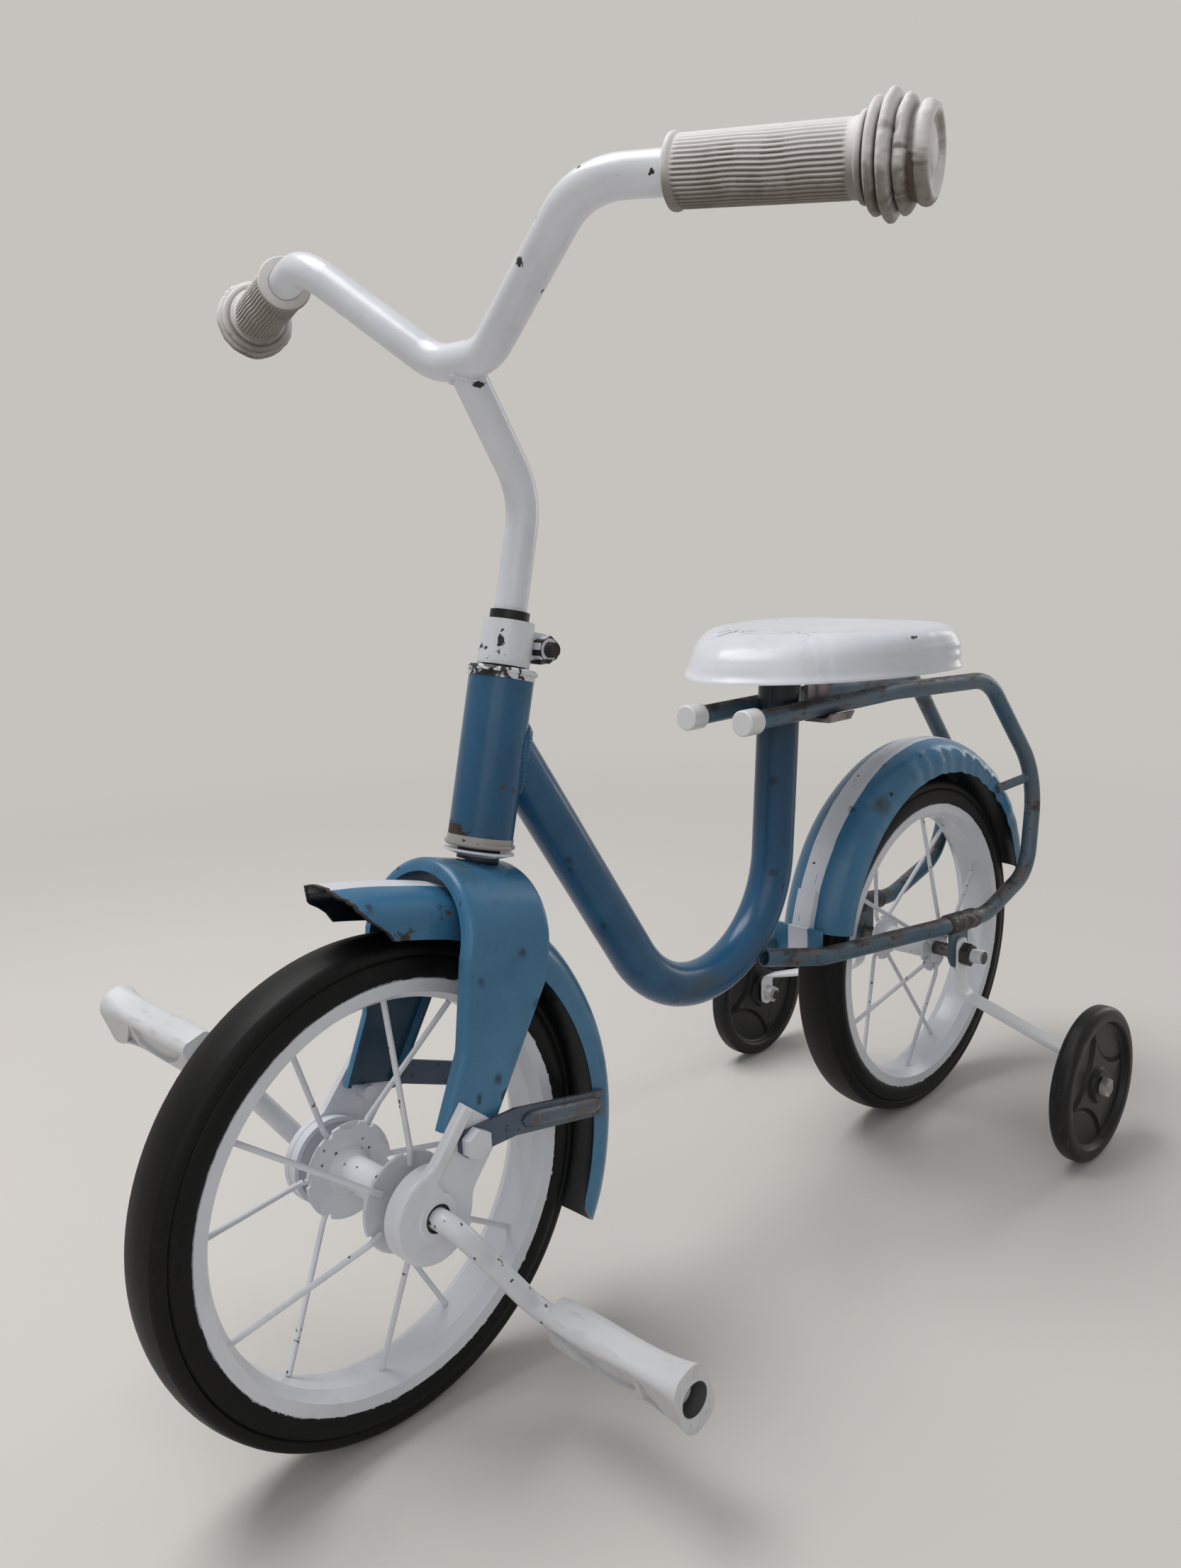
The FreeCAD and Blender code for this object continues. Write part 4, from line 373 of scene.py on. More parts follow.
def tyre_rubber():
    """Black rubber with a little dust, and the rim's white paint lapped raggedly onto it."""
    made = material("tyre_rubber")
    dust = made.noise(24.0, 5.0, 0.7)
    share = made.times(made.step(dust, 0.46, 0.75), made.step(made.noise(340.0, 3.0), 0.35, 0.7), 0.5)
    colour = made.mix(share, TYRE, TYRE_DUST)
    scuffs = made.step(made.streaks(4.0, 0.7, (420.0, 60.0, 60.0)), 0.62, 0.78)
    colour = made.mix(made.times(scuffs, 0.3), colour, TYRE_DUST)
    hubs = [made.reach(hub, "MULTIPLY", ACROSS_WHEEL) for hub in (FRONT_HUB, REAR_HUB)]
    wander = made.spread(made.noise(190.0, 4.0, 0.7), -0.0015, 0.0015)
    edge = made.plus(made.sum("MINIMUM", *hubs), wander)
    lapped = made.step(edge, RIM_EDGE, RIM_EDGE + 0.0003, invert=True)
    normal = made.bump(made.noise(520.0, 3.0), 0.25, 0.0003)
    normal = made.bump(made.noise(30.0, 3.0), 0.2, 0.001, normal)
    normal = made.bump(lapped, 0.5, 0.0004, normal)
    made.finish(made.mix(lapped, colour, WHITE), made.spread(dust, 0.4, 0.6), normal, specular=0.2)


def grip_rubber():
    made = material("grip_rubber")
    soil = made.noise(30.0, 5.0, 0.65)
    dirt = made.plus(
        made.times(made.step(soil, 0.48, 0.75), 0.2),
        made.times(made.step(made.noise(210.0, 4.0, 0.7), 0.5, 0.7), 0.08),
        # Painted shade: faces turned downwards are darkened.
        made.times(made.facing(-0.6, 0.1, invert=True), 0.8),
        # The soil mark holds dirt and painted shade in the grooves.
        made.times(made.painted("soil"), 0.4),
    )
    colour = made.mix(made.sum("MINIMUM", dirt, 1.0), RUBBER, RUBBER_DIRT)
    made.finish(colour, made.spread(soil, 0.5, 0.72), made.bump(made.noise(420.0, 3.0), 0.3, 0.0003))


def black_plastic():
    made = material("black_plastic")
    dust = made.noise(40.0, 5.0, 0.7)
    colour = made.mix(made.times(made.step(dust, 0.45, 0.8), 0.5), BLACK, TYRE_DUST)
    scuffs = made.step(made.streaks(4.0, 0.7, (500.0, 90.0, 90.0)), 0.6, 0.74)
    colour = made.mix(made.times(scuffs, 0.5), colour, SCUFF)
    normal = made.bump(scuffs, 0.2, 0.0003, made.bump(made.noise(900.0, 2.0), 0.2, 0.0002))
    made.finish(colour, made.spread(dust, 0.32, 0.52), normal, specular=0.3)


def pedal_mouth_shade(made):
    """Painted shade deep in the pedals' outer ends, where the crank's ends are seen."""
    across = made.sum("ABSOLUTE", made.separate(made.place)[0], 0.0)
    outward = made.step(across, PEDAL_MOUTH_START, PEDAL_MOUTH_START + 0.0004)
    near = []
    for axis in PEDAL_AXES:
        reach = made.reach(axis, "MULTIPLY", ACROSS_WHEEL)
        near.append(made.step(reach, PEDAL_MOUTH, PEDAL_MOUTH + 0.0003, invert=True))
    return made.times(made.most(*near), outward)


def white_plastic(name, colour, rough, soiled, hollow_shade=None):
    made = material(name)
    scuffs = made.streaks(4.0, 0.6, (60.0, 300.0, 300.0))
    dirt = made.plus(
        made.times(made.step(scuffs, 0.55, 0.7), 0.35),
        made.times(made.step(made.noise(70.0, 5.0, 0.7), 0.5, 0.8), 0.45),
        # Painted shade: faces turned downwards are darkened.
        made.times(made.facing(-0.8, 0.1, invert=True), 0.3),
    )
    shade = made.mix(made.times(dirt, soiled), colour, STAIN)
    # Painted shade, nearly black, in the pedals' mouths.
    if hollow_shade is not None:
        shade = made.mix(made.times(hollow_shade(made), 0.85), shade, PRIMER)
    normal = made.bump(scuffs, 0.1, 0.0003, made.bump(made.noise(260.0, 3.0), 0.15, 0.0003))
    made.finish(shade, rough, normal)


def steel(name, main, spots, rust, metal=0.7):
    made = material(name)
    pits = made.noise(330.0, 4.0, 0.7)
    colour = made.mix(made.step(made.noise(60.0, 5.0, 0.7), 0.4, 0.65), main, spots)
    colour = made.mix(made.step(pits, 0.66 - rust * 0.2, 0.8 - rust * 0.2), colour, RUST)
    brushed = made.streaks(3.0, 0.6, (90.0, 700.0, 90.0))
    normal = made.bump(brushed, 0.15, 0.0002, made.bump(pits, 0.4, 0.0003))
    made.finish(colour, made.spread(pits, 0.32, 0.7), normal, metal=metal)


# Worn places and soiled ones: the middle and the half sizes of each, in millimetres

BLUE_PLACES = (
    (4, -12, 168, 7, 12, 5),
    (-5.8, -192.6, 291.5, 13, 8, 8),
    (0, -182, 292, 14, 6, 3),
    (9, 45, 162, 6, 9, 4),
    (13.5, -88, 255, 2, 4, 3),
    (13, 78, 262, 2, 4, 5),
)
BLUE_HAZES = (
    (8, 52, 172, 24, 36, 16),
    (6, -20, 166, 20, 30, 12),
    (0, -180, 296, 20, 18, 12),
    (0, -160, 364, 20, 22, 8),
)
FORK_PLACES = (
    (-16, -207, 279, 8, 2.5, 2.5),
    (43, -205, 170, 2, 4, 3),
    (42.5, -231, 236, 2, 1.8, 1.8),
)
FORK_HAZES = (
    (0, -203, 284, 42, 14, 22),
    (0, -180, 284, 24, 16, 6),
)
FENDER_PLACES = (
    (0, -268, 262, 20, 12, 10),
    (20, -247, 258, 6, 8, 5),
    (23.5, 162.2, 252.2, 3, 3, 6),
    (23.5, 174, 256, 3, 4, 3),
    (23, 335, 247, 4, 5, 4),
)
FENDER_HAZES = ((22, 164, 250, 8, 14, 14),)
BAR_PLACES = (
    (6, -170, 512, 3.5, 4, 2.2),
    (-12, -178, 506, 4, 4, 2),
    (64, -196, 556, 3, 4, 4),
    (6, -165, 425, 4, 6, 3),
    (35, -188, 525, 3, 4, 1.5),
)
CLAMP_PLACES = (
    (8.5, -168, 390, 2, 5, 7.5),
    (11, -140, 375.5, 7, 7, 1.8),
    (-4, -171, 394, 1.5, 4, 3),
)
SEAT_PLACES = (
    (74, 60, 372.5, 4, 5, 2),
    (79, 105, 370.5, 3, 10, 1.5),
    (60, 182, 370.5, 3, 3, 2),
    (45, 14, 351.5, 8, 3, 1.2),
)

# Paint: its shades, where it is worn, what shows under it, and its spots

BLUE_SHINE = {"gloss": (0.2, 0.1), "specular": 0.3}
BAR_SHINE = {"gloss": (0.24, 0.25), "dirt": 0.4}
SEAT_SHINE = {"gloss": (0.24, 0.12), "dirt": 0.35}
# The seat tube's look paints the shadow under the seat.
TUBE_WEAR_AND_SHADE = {"bruises": 0.24, "soot_and_shade": seat_tube_soot_and_shadow}
# The fork's look paints shade on its inner faces.
FORK_WEAR_AND_SHADE = {"bruises": 0.1, "soot_and_shade": fork_inside_shade}
FENDER_WEAR = {"bruises": 0.12, "stripe": centre_stripe}

# Rims, fork ends and stabiliser arms: white brushed on thickly, with hardly a chip
CLEAN = {"wear": (0.7, 0.71), "under": PRIMER, "spots": (150.0, 0.16, 0.015)}
CLEAN |= {"gloss": (0.26, 0.25), "dirt": 0.35}

PAINTED_LIGHT_WHITES = (WHITE_BRIGHT, WHITE_BRIGHT, WHITE)
CUP_WHITES = (WHITE, WHITE_LIGHT, CUP_METAL)
CUP_METALS = (CUP_METAL, WHITE_DULL, STEEL)
SEAT_WHITES = (WHITE_LIGHT, WHITE, WHITE_DULL)

paint(
    "blue_paint", TUBE_BLUES, (0.64, 0.652), RUST, (105.0, 0.15, 0.16), BLUE_PLACES, BLUE_HAZES,
    **TUBE_WEAR_AND_SHADE, **BLUE_SHINE,
)
paint(
    "fork_paint", BLUES, (0.66, 0.672), SOIL, (105.0, 0.13, 0.08), FORK_PLACES, FORK_HAZES,
    **FORK_WEAR_AND_SHADE, **BLUE_SHINE,
)
paint(
    "fender_paint", BLUES, (0.655, 0.667), RUST, (100.0, 0.13, 0.1), FENDER_PLACES, FENDER_HAZES,
    **FENDER_WEAR, **BLUE_SHINE,
)
paint("white_paint", WHITES, (0.668, 0.68), PRIMER, (150.0, 0.2, 0.1), BAR_PLACES, **BAR_SHINE)
paint("speckled_white", WHITES, (0.64, 0.652), STAIN, (240.0, 0.24, 0.16), gloss=(0.32, 0.2))
paint("clean_white", WHITES, **CLEAN)
# The arms take a lighter copy of the rims' white paint: painted light.
paint("arm_white_painted_light", PAINTED_LIGHT_WHITES, **CLEAN)
paint("clamp_white", WHITES, (0.678, 0.688), PRIMER, (300.0, 0.22, 0.04), CLAMP_PLACES)
paint("cup_white", CUP_WHITES, (0.565, 0.577), PRIMER, (260.0, 0.3, 0.2), dirt=0.6)
paint("cup_metal", CUP_METALS, (0.64, 0.652), RUST, (260.0, 0.26, 0.25), dirt=0.6)
paint("seat_paint", SEAT_WHITES, (0.69, 0.7), STEEL, (120.0, 0.12, 0.04), SEAT_PLACES, **SEAT_SHINE)
worn_blue("worn_blue", 0.45, BLUE_WORN, 0.35)
worn_blue("stay_metal", 0.3, STAY_BLUE, 0.5)
tyre_rubber()
grip_rubber()
black_plastic()
white_plastic("white_plastic", CAP_WHITE, 0.38, 0.25)
white_plastic("pedal_plastic", PEDAL_WHITE, 0.42, 0.55, pedal_mouth_shade)
steel("steel", STEEL, STEEL_DARK, 0.2)
steel("strap_metal", STRAP_METAL, BROWN_STEEL, 0.05, metal=0.3)
steel("tape", TAPE, TAPE_DARK, 0.0, metal=0.1)
steel("zinc", ZINC, STEEL, 0.0, metal=0.05)
steel("dark_steel", OLD_STEEL, PRIMER, 0.25, metal=0.6)
steel("rusty_steel", RUSTY_STEEL, BARE, 0.55, metal=0.45)

FINISHES = {
    "fender_paint": ("fender_bridge", "front_fender", "rear_fender"),
    "fork_paint": ("fork",),
    "cup_metal": ("lower_cup",),
    "cup_white": ("upper_cup",),
    "clamp_white": ("stem_clamp",),
    "stay_metal": ("fender_stay_left", "fender_stay_right"),
    "speckled_white": ("crank", "front_spokes", "rear_spokes", "front_hub", "rear_hub"),
    "clean_white": ("front_rim", "rear_rim", "fork_end_left", "fork_end_right"),
    "arm_white_painted_light": ("stabiliser_arm_left", "stabiliser_arm_right"),
    "strap_metal": ("seat_bracket",),
    "dark_steel": ("steerer", "clamp_bolt"),
    "zinc": ("stabiliser_bolt_left", "stabiliser_bolt_right"),
    "tyre_rubber": ("front_tyre", "rear_tyre"),
}
FINISH_OF = {node: finish for finish, nodes in FINISHES.items() for node in nodes}


def material_of(node):
    """The finish that suits a CAD node, which is its slot's own unless the list names another."""
    return MATERIALS[FINISH_OF.get(node, SLOT_OF[node])]


for node, thing in NODES.items():
    thing.data.materials.clear()
    thing.data.materials.append(material_of(node))


# Making pieces


def grid(shape, rows, caps=False):
    """Faces between rows of points that each close on themselves, and over both ends if asked."""
    made = [[shape.verts.new(point) for point in row] for row in rows]
    for low, high in zip(made, made[1:]):
        for step in range(len(low)):
            ahead = (step + 1) % len(low)
            shape.faces.new([low[step], low[ahead], high[ahead], high[step]])
    if caps:
        shape.faces.new(made[0])
        shape.faces.new(made[-1])
    return made


def add_piece(name, node, shape, finish=None, replaces=False, sharp=32.0):
    """Turn a bmesh into a piece that rides with a CAD node's body."""
    bmesh.ops.remove_doubles(shape, verts=shape.verts, dist=1e-6)
    bmesh.ops.dissolve_degenerate(shape, edges=shape.edges, dist=1e-7)
    bmesh.ops.recalc_face_normals(shape, faces=shape.faces)
    mesh = bpy.data.meshes.new(name)
    shape.to_mesh(mesh)
    shape.free()
    mesh.materials.append(MATERIALS[finish] if finish else material_of(node))
    mesh.shade_smooth()
    mesh.set_sharp_from_angle(angle=math.radians(sharp))
    thing = bpy.data.objects.new(name, mesh)
    SCENE.collection.objects.link(thing)
    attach(thing, BODY_OF[node])
    if replaces:
        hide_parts(node)


def add_grid(name, node, rows, caps=False, **settings):
    """A piece made of one grid of points."""
    shape = bmesh.new()
    grid(shape, rows, caps)
    add_piece(name, node, shape, **settings)


def axes_at(base, direction):
    """A frame in millimetres whose Z runs along a direction."""
    turn = direction.to_track_quat("Z", "Y").to_matrix().to_4x4()
    return Matrix.Translation(base) @ turn @ Matrix.Scale(MM, 4)


def turned(profile, place, count, relief):
    """Rows of points round a frame's Z from (height, radius) pairs in millimetres."""
    rows = []
    for height, radius in profile:
        row = []
        for angle in around(count):
            reach = radius + (relief(height, radius, angle) if radius > 0 else 0.0)
            row.append(place @ Vector((reach * math.cos(angle), reach * math.sin(angle), height)))
        rows.append(row)
    return rows


def tree_of(node):
    """A CAD node's faces, ready for distances and rays."""
    mesh = NODES[node].data
    faces = [list(face.vertices) for face in mesh.polygons]
    return BVHTree.FromPolygons([vertex.co for vertex in mesh.vertices], faces)


def main_axes(points):
    """The middle of some points and the directions of their spread, the longest last."""
    middle = points.mean(axis=0)
    vectors = numpy.linalg.eigh(numpy.cov((points - middle).T))[1]
    return middle, Vector(vectors[:, 1]), Vector(vectors[:, 2])


def long_axis(node):
    """The middle line of a long round piece: its inner end and its direction."""
    points = numpy.array([vertex.co for vertex in NODES[node].data.vertices])
    points = numpy.unique(points.round(6), axis=0)
    middle, across, direction = main_axes(points)
    if direction.x * middle[0] < 0:
        direction = -direction
    along = (points - middle) @ numpy.array(direction)
    return Vector(middle) + direction * along.min(), direction


# Grips

GRIP_RIBS = 44
GRIP_COLUMNS = GRIP_RIBS * 6
GRIP_ROWS = 46
GRIP_RIB_HEIGHT = 0.6
GRIP_RIB_START = 3.8
GRIP_RIB_END = 72.4
GRIP_RIB_FADE = 1.5
DISCS_START = 79
TEARS = 12
TEAR_LIMITS = ((0, math.tau), (78, 101), (0.06, 0.14))
FIN_SHAPE = ((0.0, 0.0), (0.06, 0.24), (0.12, 0.52), (0.22, 0.82), (0.36, 0.97), (0.5, 1.0))
GRIP_START = [(0.0, 9.15), (0.0, 13.6), (0.5, 14.5), (1.7, 14.7), (2.9, 14.4), (3.4, 13.7)]
GRIP_NECK = [(72.9, 14.3), (75.0, 14.5)]
GRIP_FINS = [(75.3, 78.6, 16.4, 14.8), (78.8, 83.8, 20.4, 15.6)]
GRIP_FINS += [(84.0, 89.6, 22.4, 17.6), (89.8, 95.0, 20.2, 16.6)]
GRIP_END = [(95.2, 15.8), (96.4, 15.9), (98.0, 17.2), (99.6, 17.9), (101.2, 17.6), (102.4, 16.6)]
GRIP_CUP = [(103.0, 15.0), (102.8, 13.6), (101.9, 12.2), (100.9, 10.4), (100.8, 9.0)]
GRIP_CUP += [(101.7, 6.5), (102.0, 4.0), (102.1, 0.0)]


def rounded_fin(start, end, radius, root):
    """A rubber disc with hollow sides and a thin rounded rim."""
    width = end - start
    rise = radius - root
    near = [(start + width * along, root + rise * out) for along, out in FIN_SHAPE]
    far = [(end - width * along, root + rise * out) for along, out in reversed(FIN_SHAPE[:-1])]
    return near + far


def grip_profile():
    """Height and radius along the grip, from the bar side to the cupped end."""
    rows = list(GRIP_START)
    for step in range(GRIP_ROWS + 1):
        share = step / GRIP_ROWS
        rows.append((GRIP_RIB_START + (GRIP_RIB_END - GRIP_RIB_START) * share, 13.55 + 0.55 * share))
    rows += GRIP_NECK
    for fin in GRIP_FINS:
        rows += rounded_fin(*fin)
    return rows + GRIP_END + GRIP_CUP


def turn_gap(angle, other):
    return abs((angle - other + math.pi) % math.tau - math.pi)


def rib_share(height, angle):
    """How high a rib stands here, from 0 in a groove to 1 on a ridge."""
    if not GRIP_RIB_START < height < GRIP_RIB_END:
        return None
    sway = 0.02 * math.sin(height / 11.0) + 0.012 * math.sin(height / 4.3 + 1.0)
    wave = 0.5 + 0.5 * math.cos(GRIP_RIBS * (angle + sway))
    return wave ** 0.7 * min(1.0, min(height - GRIP_RIB_START, GRIP_RIB_END - height) / GRIP_RIB_FADE)


def rib_wear(angle, top):
    """Ribs stand full below and are worn nearly flat along the grip's top."""
    return 0.3 + 0.7 * clamp((turn_gap(angle, top) - 0.45) / 0.7)


def grip_relief(seed, top):
    """Ribs on the body, and worn and torn edges on the discs."""
    draw = random.Random(seed)
    tears = [[draw.uniform(*limits) for limits in TEAR_LIMITS] for _ in range(TEARS)]

    def relief(height, radius, angle):
        share = rib_share(height, angle)
        if share is not None:
            return GRIP_RIB_HEIGHT * (share - 0.5) * rib_wear(angle, top)
        if height < DISCS_START:
            return 0.0
        spot = Vector((math.cos(angle) * 2.4, math.sin(angle) * 2.4, height * 0.16 + seed))
        reach = 0.8 * noise.noise(spot) + 0.25 * noise.noise(spot * 4.0)
        for turn, place, width in tears:
            gap = turn_gap(angle, turn)
            if abs(height - place) < 2.2 and gap < width and radius > 16:
                reach -= 0.9 * (1 - gap / width)
        return reach * min(1.0, (height - DISCS_START) / 4)

    return relief


def grips():
    profile = grip_profile()
    for number, (side, _) in enumerate(SIDES):
        node = f"grip_{side}"
        place = axes_at(*long_axis(node))
        up = place.to_3x3().inverted() @ Vector((0, 0, 1))
        top = math.atan2(up.y, up.x)
        shape = bmesh.new()
        soil = shape.verts.layers.float.new("soil")
        rows = grid(shape, turned(profile, place, GRIP_COLUMNS, grip_relief(SEED + number, top)))
        # The soil mark: dirt and painted shade in the grooves between ribs and between discs.
        for (height, radius), row in zip(profile, rows):
            for angle, vertex in zip(around(GRIP_COLUMNS), row):
                share = rib_share(height, angle)
                if share is not None:
                    vertex[soil] = (1.0 - share) ** 2 * rib_wear(angle, top)
                elif 78 < height < 97:
                    vertex[soil] = max(0.0, min(1.7, (19.6 - radius) / 2.0))
        add_piece(f"{node}_rubber", node, shape, replaces=True, sharp=60.0)


grips()


# Seat

SEAT_COLUMNS = 160
SEAT_WALL = 1.2
SEAT_SPINE_FRONT = 0.3
SEAT_SPINE_BACK = 0.62
SEAT_RIM_HEIGHT = 6 * MM

# Inset in millimetres and height share of each row of the shell's side
SEAT_SIDE = [(0.2, 0.0), (0.0, 0.03), (0.5, 0.07), (1.3, 0.12), (1.7, 0.18), (1.8, 0.24), (1.9, 0.3)]
SEAT_SIDE += [(2.0, 0.36), (2.1, 0.42), (2.2, 0.48), (2.4, 0.54), (2.7, 0.6), (3.2, 0.66), (4.1, 0.73)]
SEAT_SIDE += [(5.5, 0.8), (7.6, 0.86), (10.4, 0.91), (14.0, 0.945), (18.0, 0.965)]
SEAT_CROWN = (0.06, 0.12, 0.17, 0.22, 0.27, 0.33, 0.4, 0.5, 0.62, 0.75, 0.88, 1.0)

# How much farther in the shell's front leans at each share of its height, in millimetres
SLOPE_HEIGHTS = (0.0, 0.06, 0.14, 0.3, 0.5, 0.66, 0.8, 0.91, 0.965)
SLOPE_INSETS = (0.0, 0.8, 1.6, 3.2, 6.0, 9.5, 14.0, 17.5, 19.0)


def seat_outline(low, high):
    """The pressed shell's outer edge seen from above, read off the solid's own rim."""
    centre = Vector(((low.x + high.x) / 2, low.y + (high.y - low.y) * 0.52, 0))
    turns = [[] for _ in range(SEAT_COLUMNS)]
    for vertex in NODES["seat_shell"].data.vertices:
        if vertex.co.z <= low.z + SEAT_RIM_HEIGHT:
            away = Vector((vertex.co.x, vertex.co.y, 0)) - centre
            angle = math.atan2(away.y, away.x) % math.tau
            turns[int(angle / math.tau * SEAT_COLUMNS) % SEAT_COLUMNS].append((away.length, angle))
    known = sorted(max(found)[::-1] for found in turns if found)
    angles, reaches = numpy.array(known).T
    places = []
    for angle in around(SEAT_COLUMNS):
        reach = float(numpy.interp(angle, angles, reaches, period=math.tau))
        places.append(centre + Vector((math.cos(angle), math.sin(angle), 0)) * reach)
    return places


def seat():
    low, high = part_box("seat_shell")
    tall = (high.z - low.z) / MM
    length = high.y - low.y
    outline = seat_outline(low, high)
    spine = (low.y + length * SEAT_SPINE_FRONT, low.y + length * SEAT_SPINE_BACK)
    columns = range(SEAT_COLUMNS)
    inward = []
    for step in columns:
        along = outline[(step + 1) % SEAT_COLUMNS] - outline[step - 1]
        inward.append(Vector((-along.y, along.x, 0)).normalized())

    def outer(step, inset, share):
        """The side: it leans in at the front, and two pressed beads run round its back half."""
        place = outline[step]
        behind = (place.y - low.y) / length
        slope = float(numpy.interp(share, SLOPE_HEIGHTS, SLOPE_INSETS))
        reach = inset + slope * clamp((0.5 - behind) / 0.45) ** 1.5
        if share < 0.62:
            beads = bell(share, 0.3, 0.06) + bell(share, 0.52, 0.06)
            reach -= 1.1 * beads * clamp((behind - 0.35) / 0.3)
        spot = place + inward[step] * (max(reach, 0.0) * MM)
        return Vector((spot.x, spot.y, low.z + tall * share * MM))

    def crown(step, share):
        """The top, with a faint field pressed into it."""
        start = outer(step, *SEAT_SIDE[-1])
        spot = start.lerp(Vector((0, min(max(start.y, spine[0]), spine[1]), 0)), share)
        rise = 0.965 + 0.035 * math.sin(share * math.pi / 2)
        field = 0.9 * bell(share, 0.2, 0.05) - 0.8 * bell(share, 0.34, 0.07)
        wavy = 0.35 * noise.noise(Vector((spot.x * 40, spot.y * 40, 3.0)))
        return Vector((spot.x, spot.y, low.z + (tall * min(rise, 1.0) + field * 0.5 + wavy - 0.8) * MM))

    rows = [[outer(step, inset, share) for step in columns] for inset, share in SEAT_SIDE]
    rows += [[crown(step, share) for step in columns] for share in SEAT_CROWN]
    inside = []
    insets = [SEAT_WALL] * len(SEAT_SIDE) + [0.6] * (len(SEAT_CROWN) - 1) + [0.0]
    for number, (row, inset) in enumerate(zip(rows, insets)):
        drop = Vector((0, 0, SEAT_WALL if number > len(SEAT_SIDE) - 6 else 0.0)) * MM
        inside.append([place + way * (inset * MM) - drop for place, way in zip(row, inward)])
    add_grid("seat_pressing", "seat_shell", inside[::-1] + rows, replaces=True, sharp=50.0)


seat()


# Fenders

FENDER_HALF_WIDTH = 25.0
FENDER_SKIRT = 6.0
FENDER_CROWN = 18.0
FENDER_WALL = 1.2
FENDER_COLUMNS = 40
FENDER_STEP = 3.5
NOSE_LIFT_RADIUS = 400.0
NOSE_LIFT = math.radians(10.0)
NOSE_SHARES = (0.7, 0.84, 0.9, 0.95, 0.99, 1.03, 1.09, 1.2)
NOSE_TURNS = (86.0, 88.5, 91.2, 95.0, 95.6, 97.4, 98.0, 110.0)
REAR_FENDER_SHIFT = Vector((0, 3.0, 13.0))
REAR_DENTS = ((296.0, 21.0, 1.8), (281.0, 23.0, 1.4), (312.0, 23.5, 1.2))


def fender_skins():
    """Across and inward places from skirt to skirt, on the outer skin and a wall inside it."""
    skirt = [FENDER_CROWN + FENDER_SKIRT * share for share in (0.25, 0.5, 0.75, 1.0)]
    outer = [(FENDER_HALF_WIDTH, depth) for depth in reversed(skirt)]
    for step in range(FENDER_COLUMNS + 1):
        angle = math.pi * step / FENDER_COLUMNS
        outer.append((FENDER_HALF_WIDTH * math.cos(angle), FENDER_CROWN * (1 - math.sin(angle))))
    outer += [(-FENDER_HALF_WIDTH, depth) for depth in skirt]
    inner = []
    for number, (across, depth) in enumerate(outer):
        before = outer[max(number - 1, 0)]
        after = outer[min(number + 1, len(outer) - 1)]
        along = Vector((after[0] - before[0], after[1] - before[1])).normalized()
        inner.append((across + along.y * FENDER_WALL, depth - along.x * FENDER_WALL))
    return outer, inner


def fender(node, centre, radius, start, lift, reach, relief, limit=None, corner=0.0):
    """A channel swept round a wheel; past the lift it follows a wider arc to its nose."""
    outer, inner = fender_skins()
    count = len(outer)
    span = math.radians(lift - start)
    turn_at_lift = math.radians(lift)

    def place(length, across, depth):
        turn = math.radians(start) + length / radius
        out = radius - depth
        middle = Vector((0.0, 0.0))
        if turn > turn_at_lift:
            lifted = Vector((math.cos(turn_at_lift), math.sin(turn_at_lift)))
            middle = lifted * (radius - NOSE_LIFT_RADIUS)
            out = NOSE_LIFT_RADIUS - depth
            turn = turn_at_lift + (length - radius * span) / NOSE_LIFT_RADIUS
        spot = middle + Vector((math.cos(turn), math.sin(turn))) * out
        return Vector((across, spot.x, spot.y))

    whole = radius * span + reach
    spans = []
    for number, (across, depth) in enumerate(outer):
        side = abs(number / (count - 1) * 2 - 1)
        begin = corner * (1 - math.sqrt(max(0.0, 1 - side ** 2.4)))
        end = whole
        while limit is not None and end > whole * 0.5:
            spot = place(end, across, depth)
            reached = math.degrees(math.atan2(spot.z, spot.y))
            if reached <= limit(math.hypot(spot.y, spot.z) / radius, across):
                break
            end -= 0.5
        spans.append((begin, end))
    steps = int(whole / FENDER_STEP)
    rows = []
    for step in range(steps + 1):
        row = []
        for skin, order in ((outer, 1), (inner, -1)):
            for number in range(count)[::order]:
                across, depth = skin[number]
                begin, end = spans[number]
                length = begin + (end - begin) * (step / steps)
                push = relief(length, outer[number][0])
                lean = push * across / FENDER_HALF_WIDTH * 0.8
                row.append(centre + place(length, across + lean, depth - push) * MM)
        rows.append(row)
    shape = bmesh.new()
    inside = shape.verts.layers.float.new("inner")
    worn = shape.verts.layers.float.new("worn")
    made = grid(shape, rows)
    for row in made:
        for vertex in row[count:]:
            vertex[inside] = 1.0
    if limit is not None:
        for vertex in made[-1]:
            vertex[worn] = 1.0
    for row in (made[0], made[-1]):
        for number in range(count - 1):
            far = len(row) - 1 - number
            shape.faces.new([row[number], row[number + 1], row[far - 1], row[far]])
    add_piece(f"{node}_skin", node, shape, replaces=True)


def rear_relief(length, across):
    """Hammered pleats in the near skirt, dents in front of them and a faint unevenness."""
    edge = max(0.0, (across - 11.0) / 14.0)
    push = 0.35 * noise.noise(Vector((length * 0.02, across * 0.06, 1)))
    for pleat in range(9):
        middle = 96 + 17.5 * pleat + 3 * (pleat % 2)
        push -= 1.2 * edge ** 1.4 * bell(length, middle, 4.2 + 1.2 * (pleat % 3))
    for place, middle, depth in REAR_DENTS:
        push -= depth * bell(length, place, 6.0) * bell(across, middle, 5.0)
    return push + 0.6 * edge * noise.noise(Vector((length * 0.09, 0, 5)))


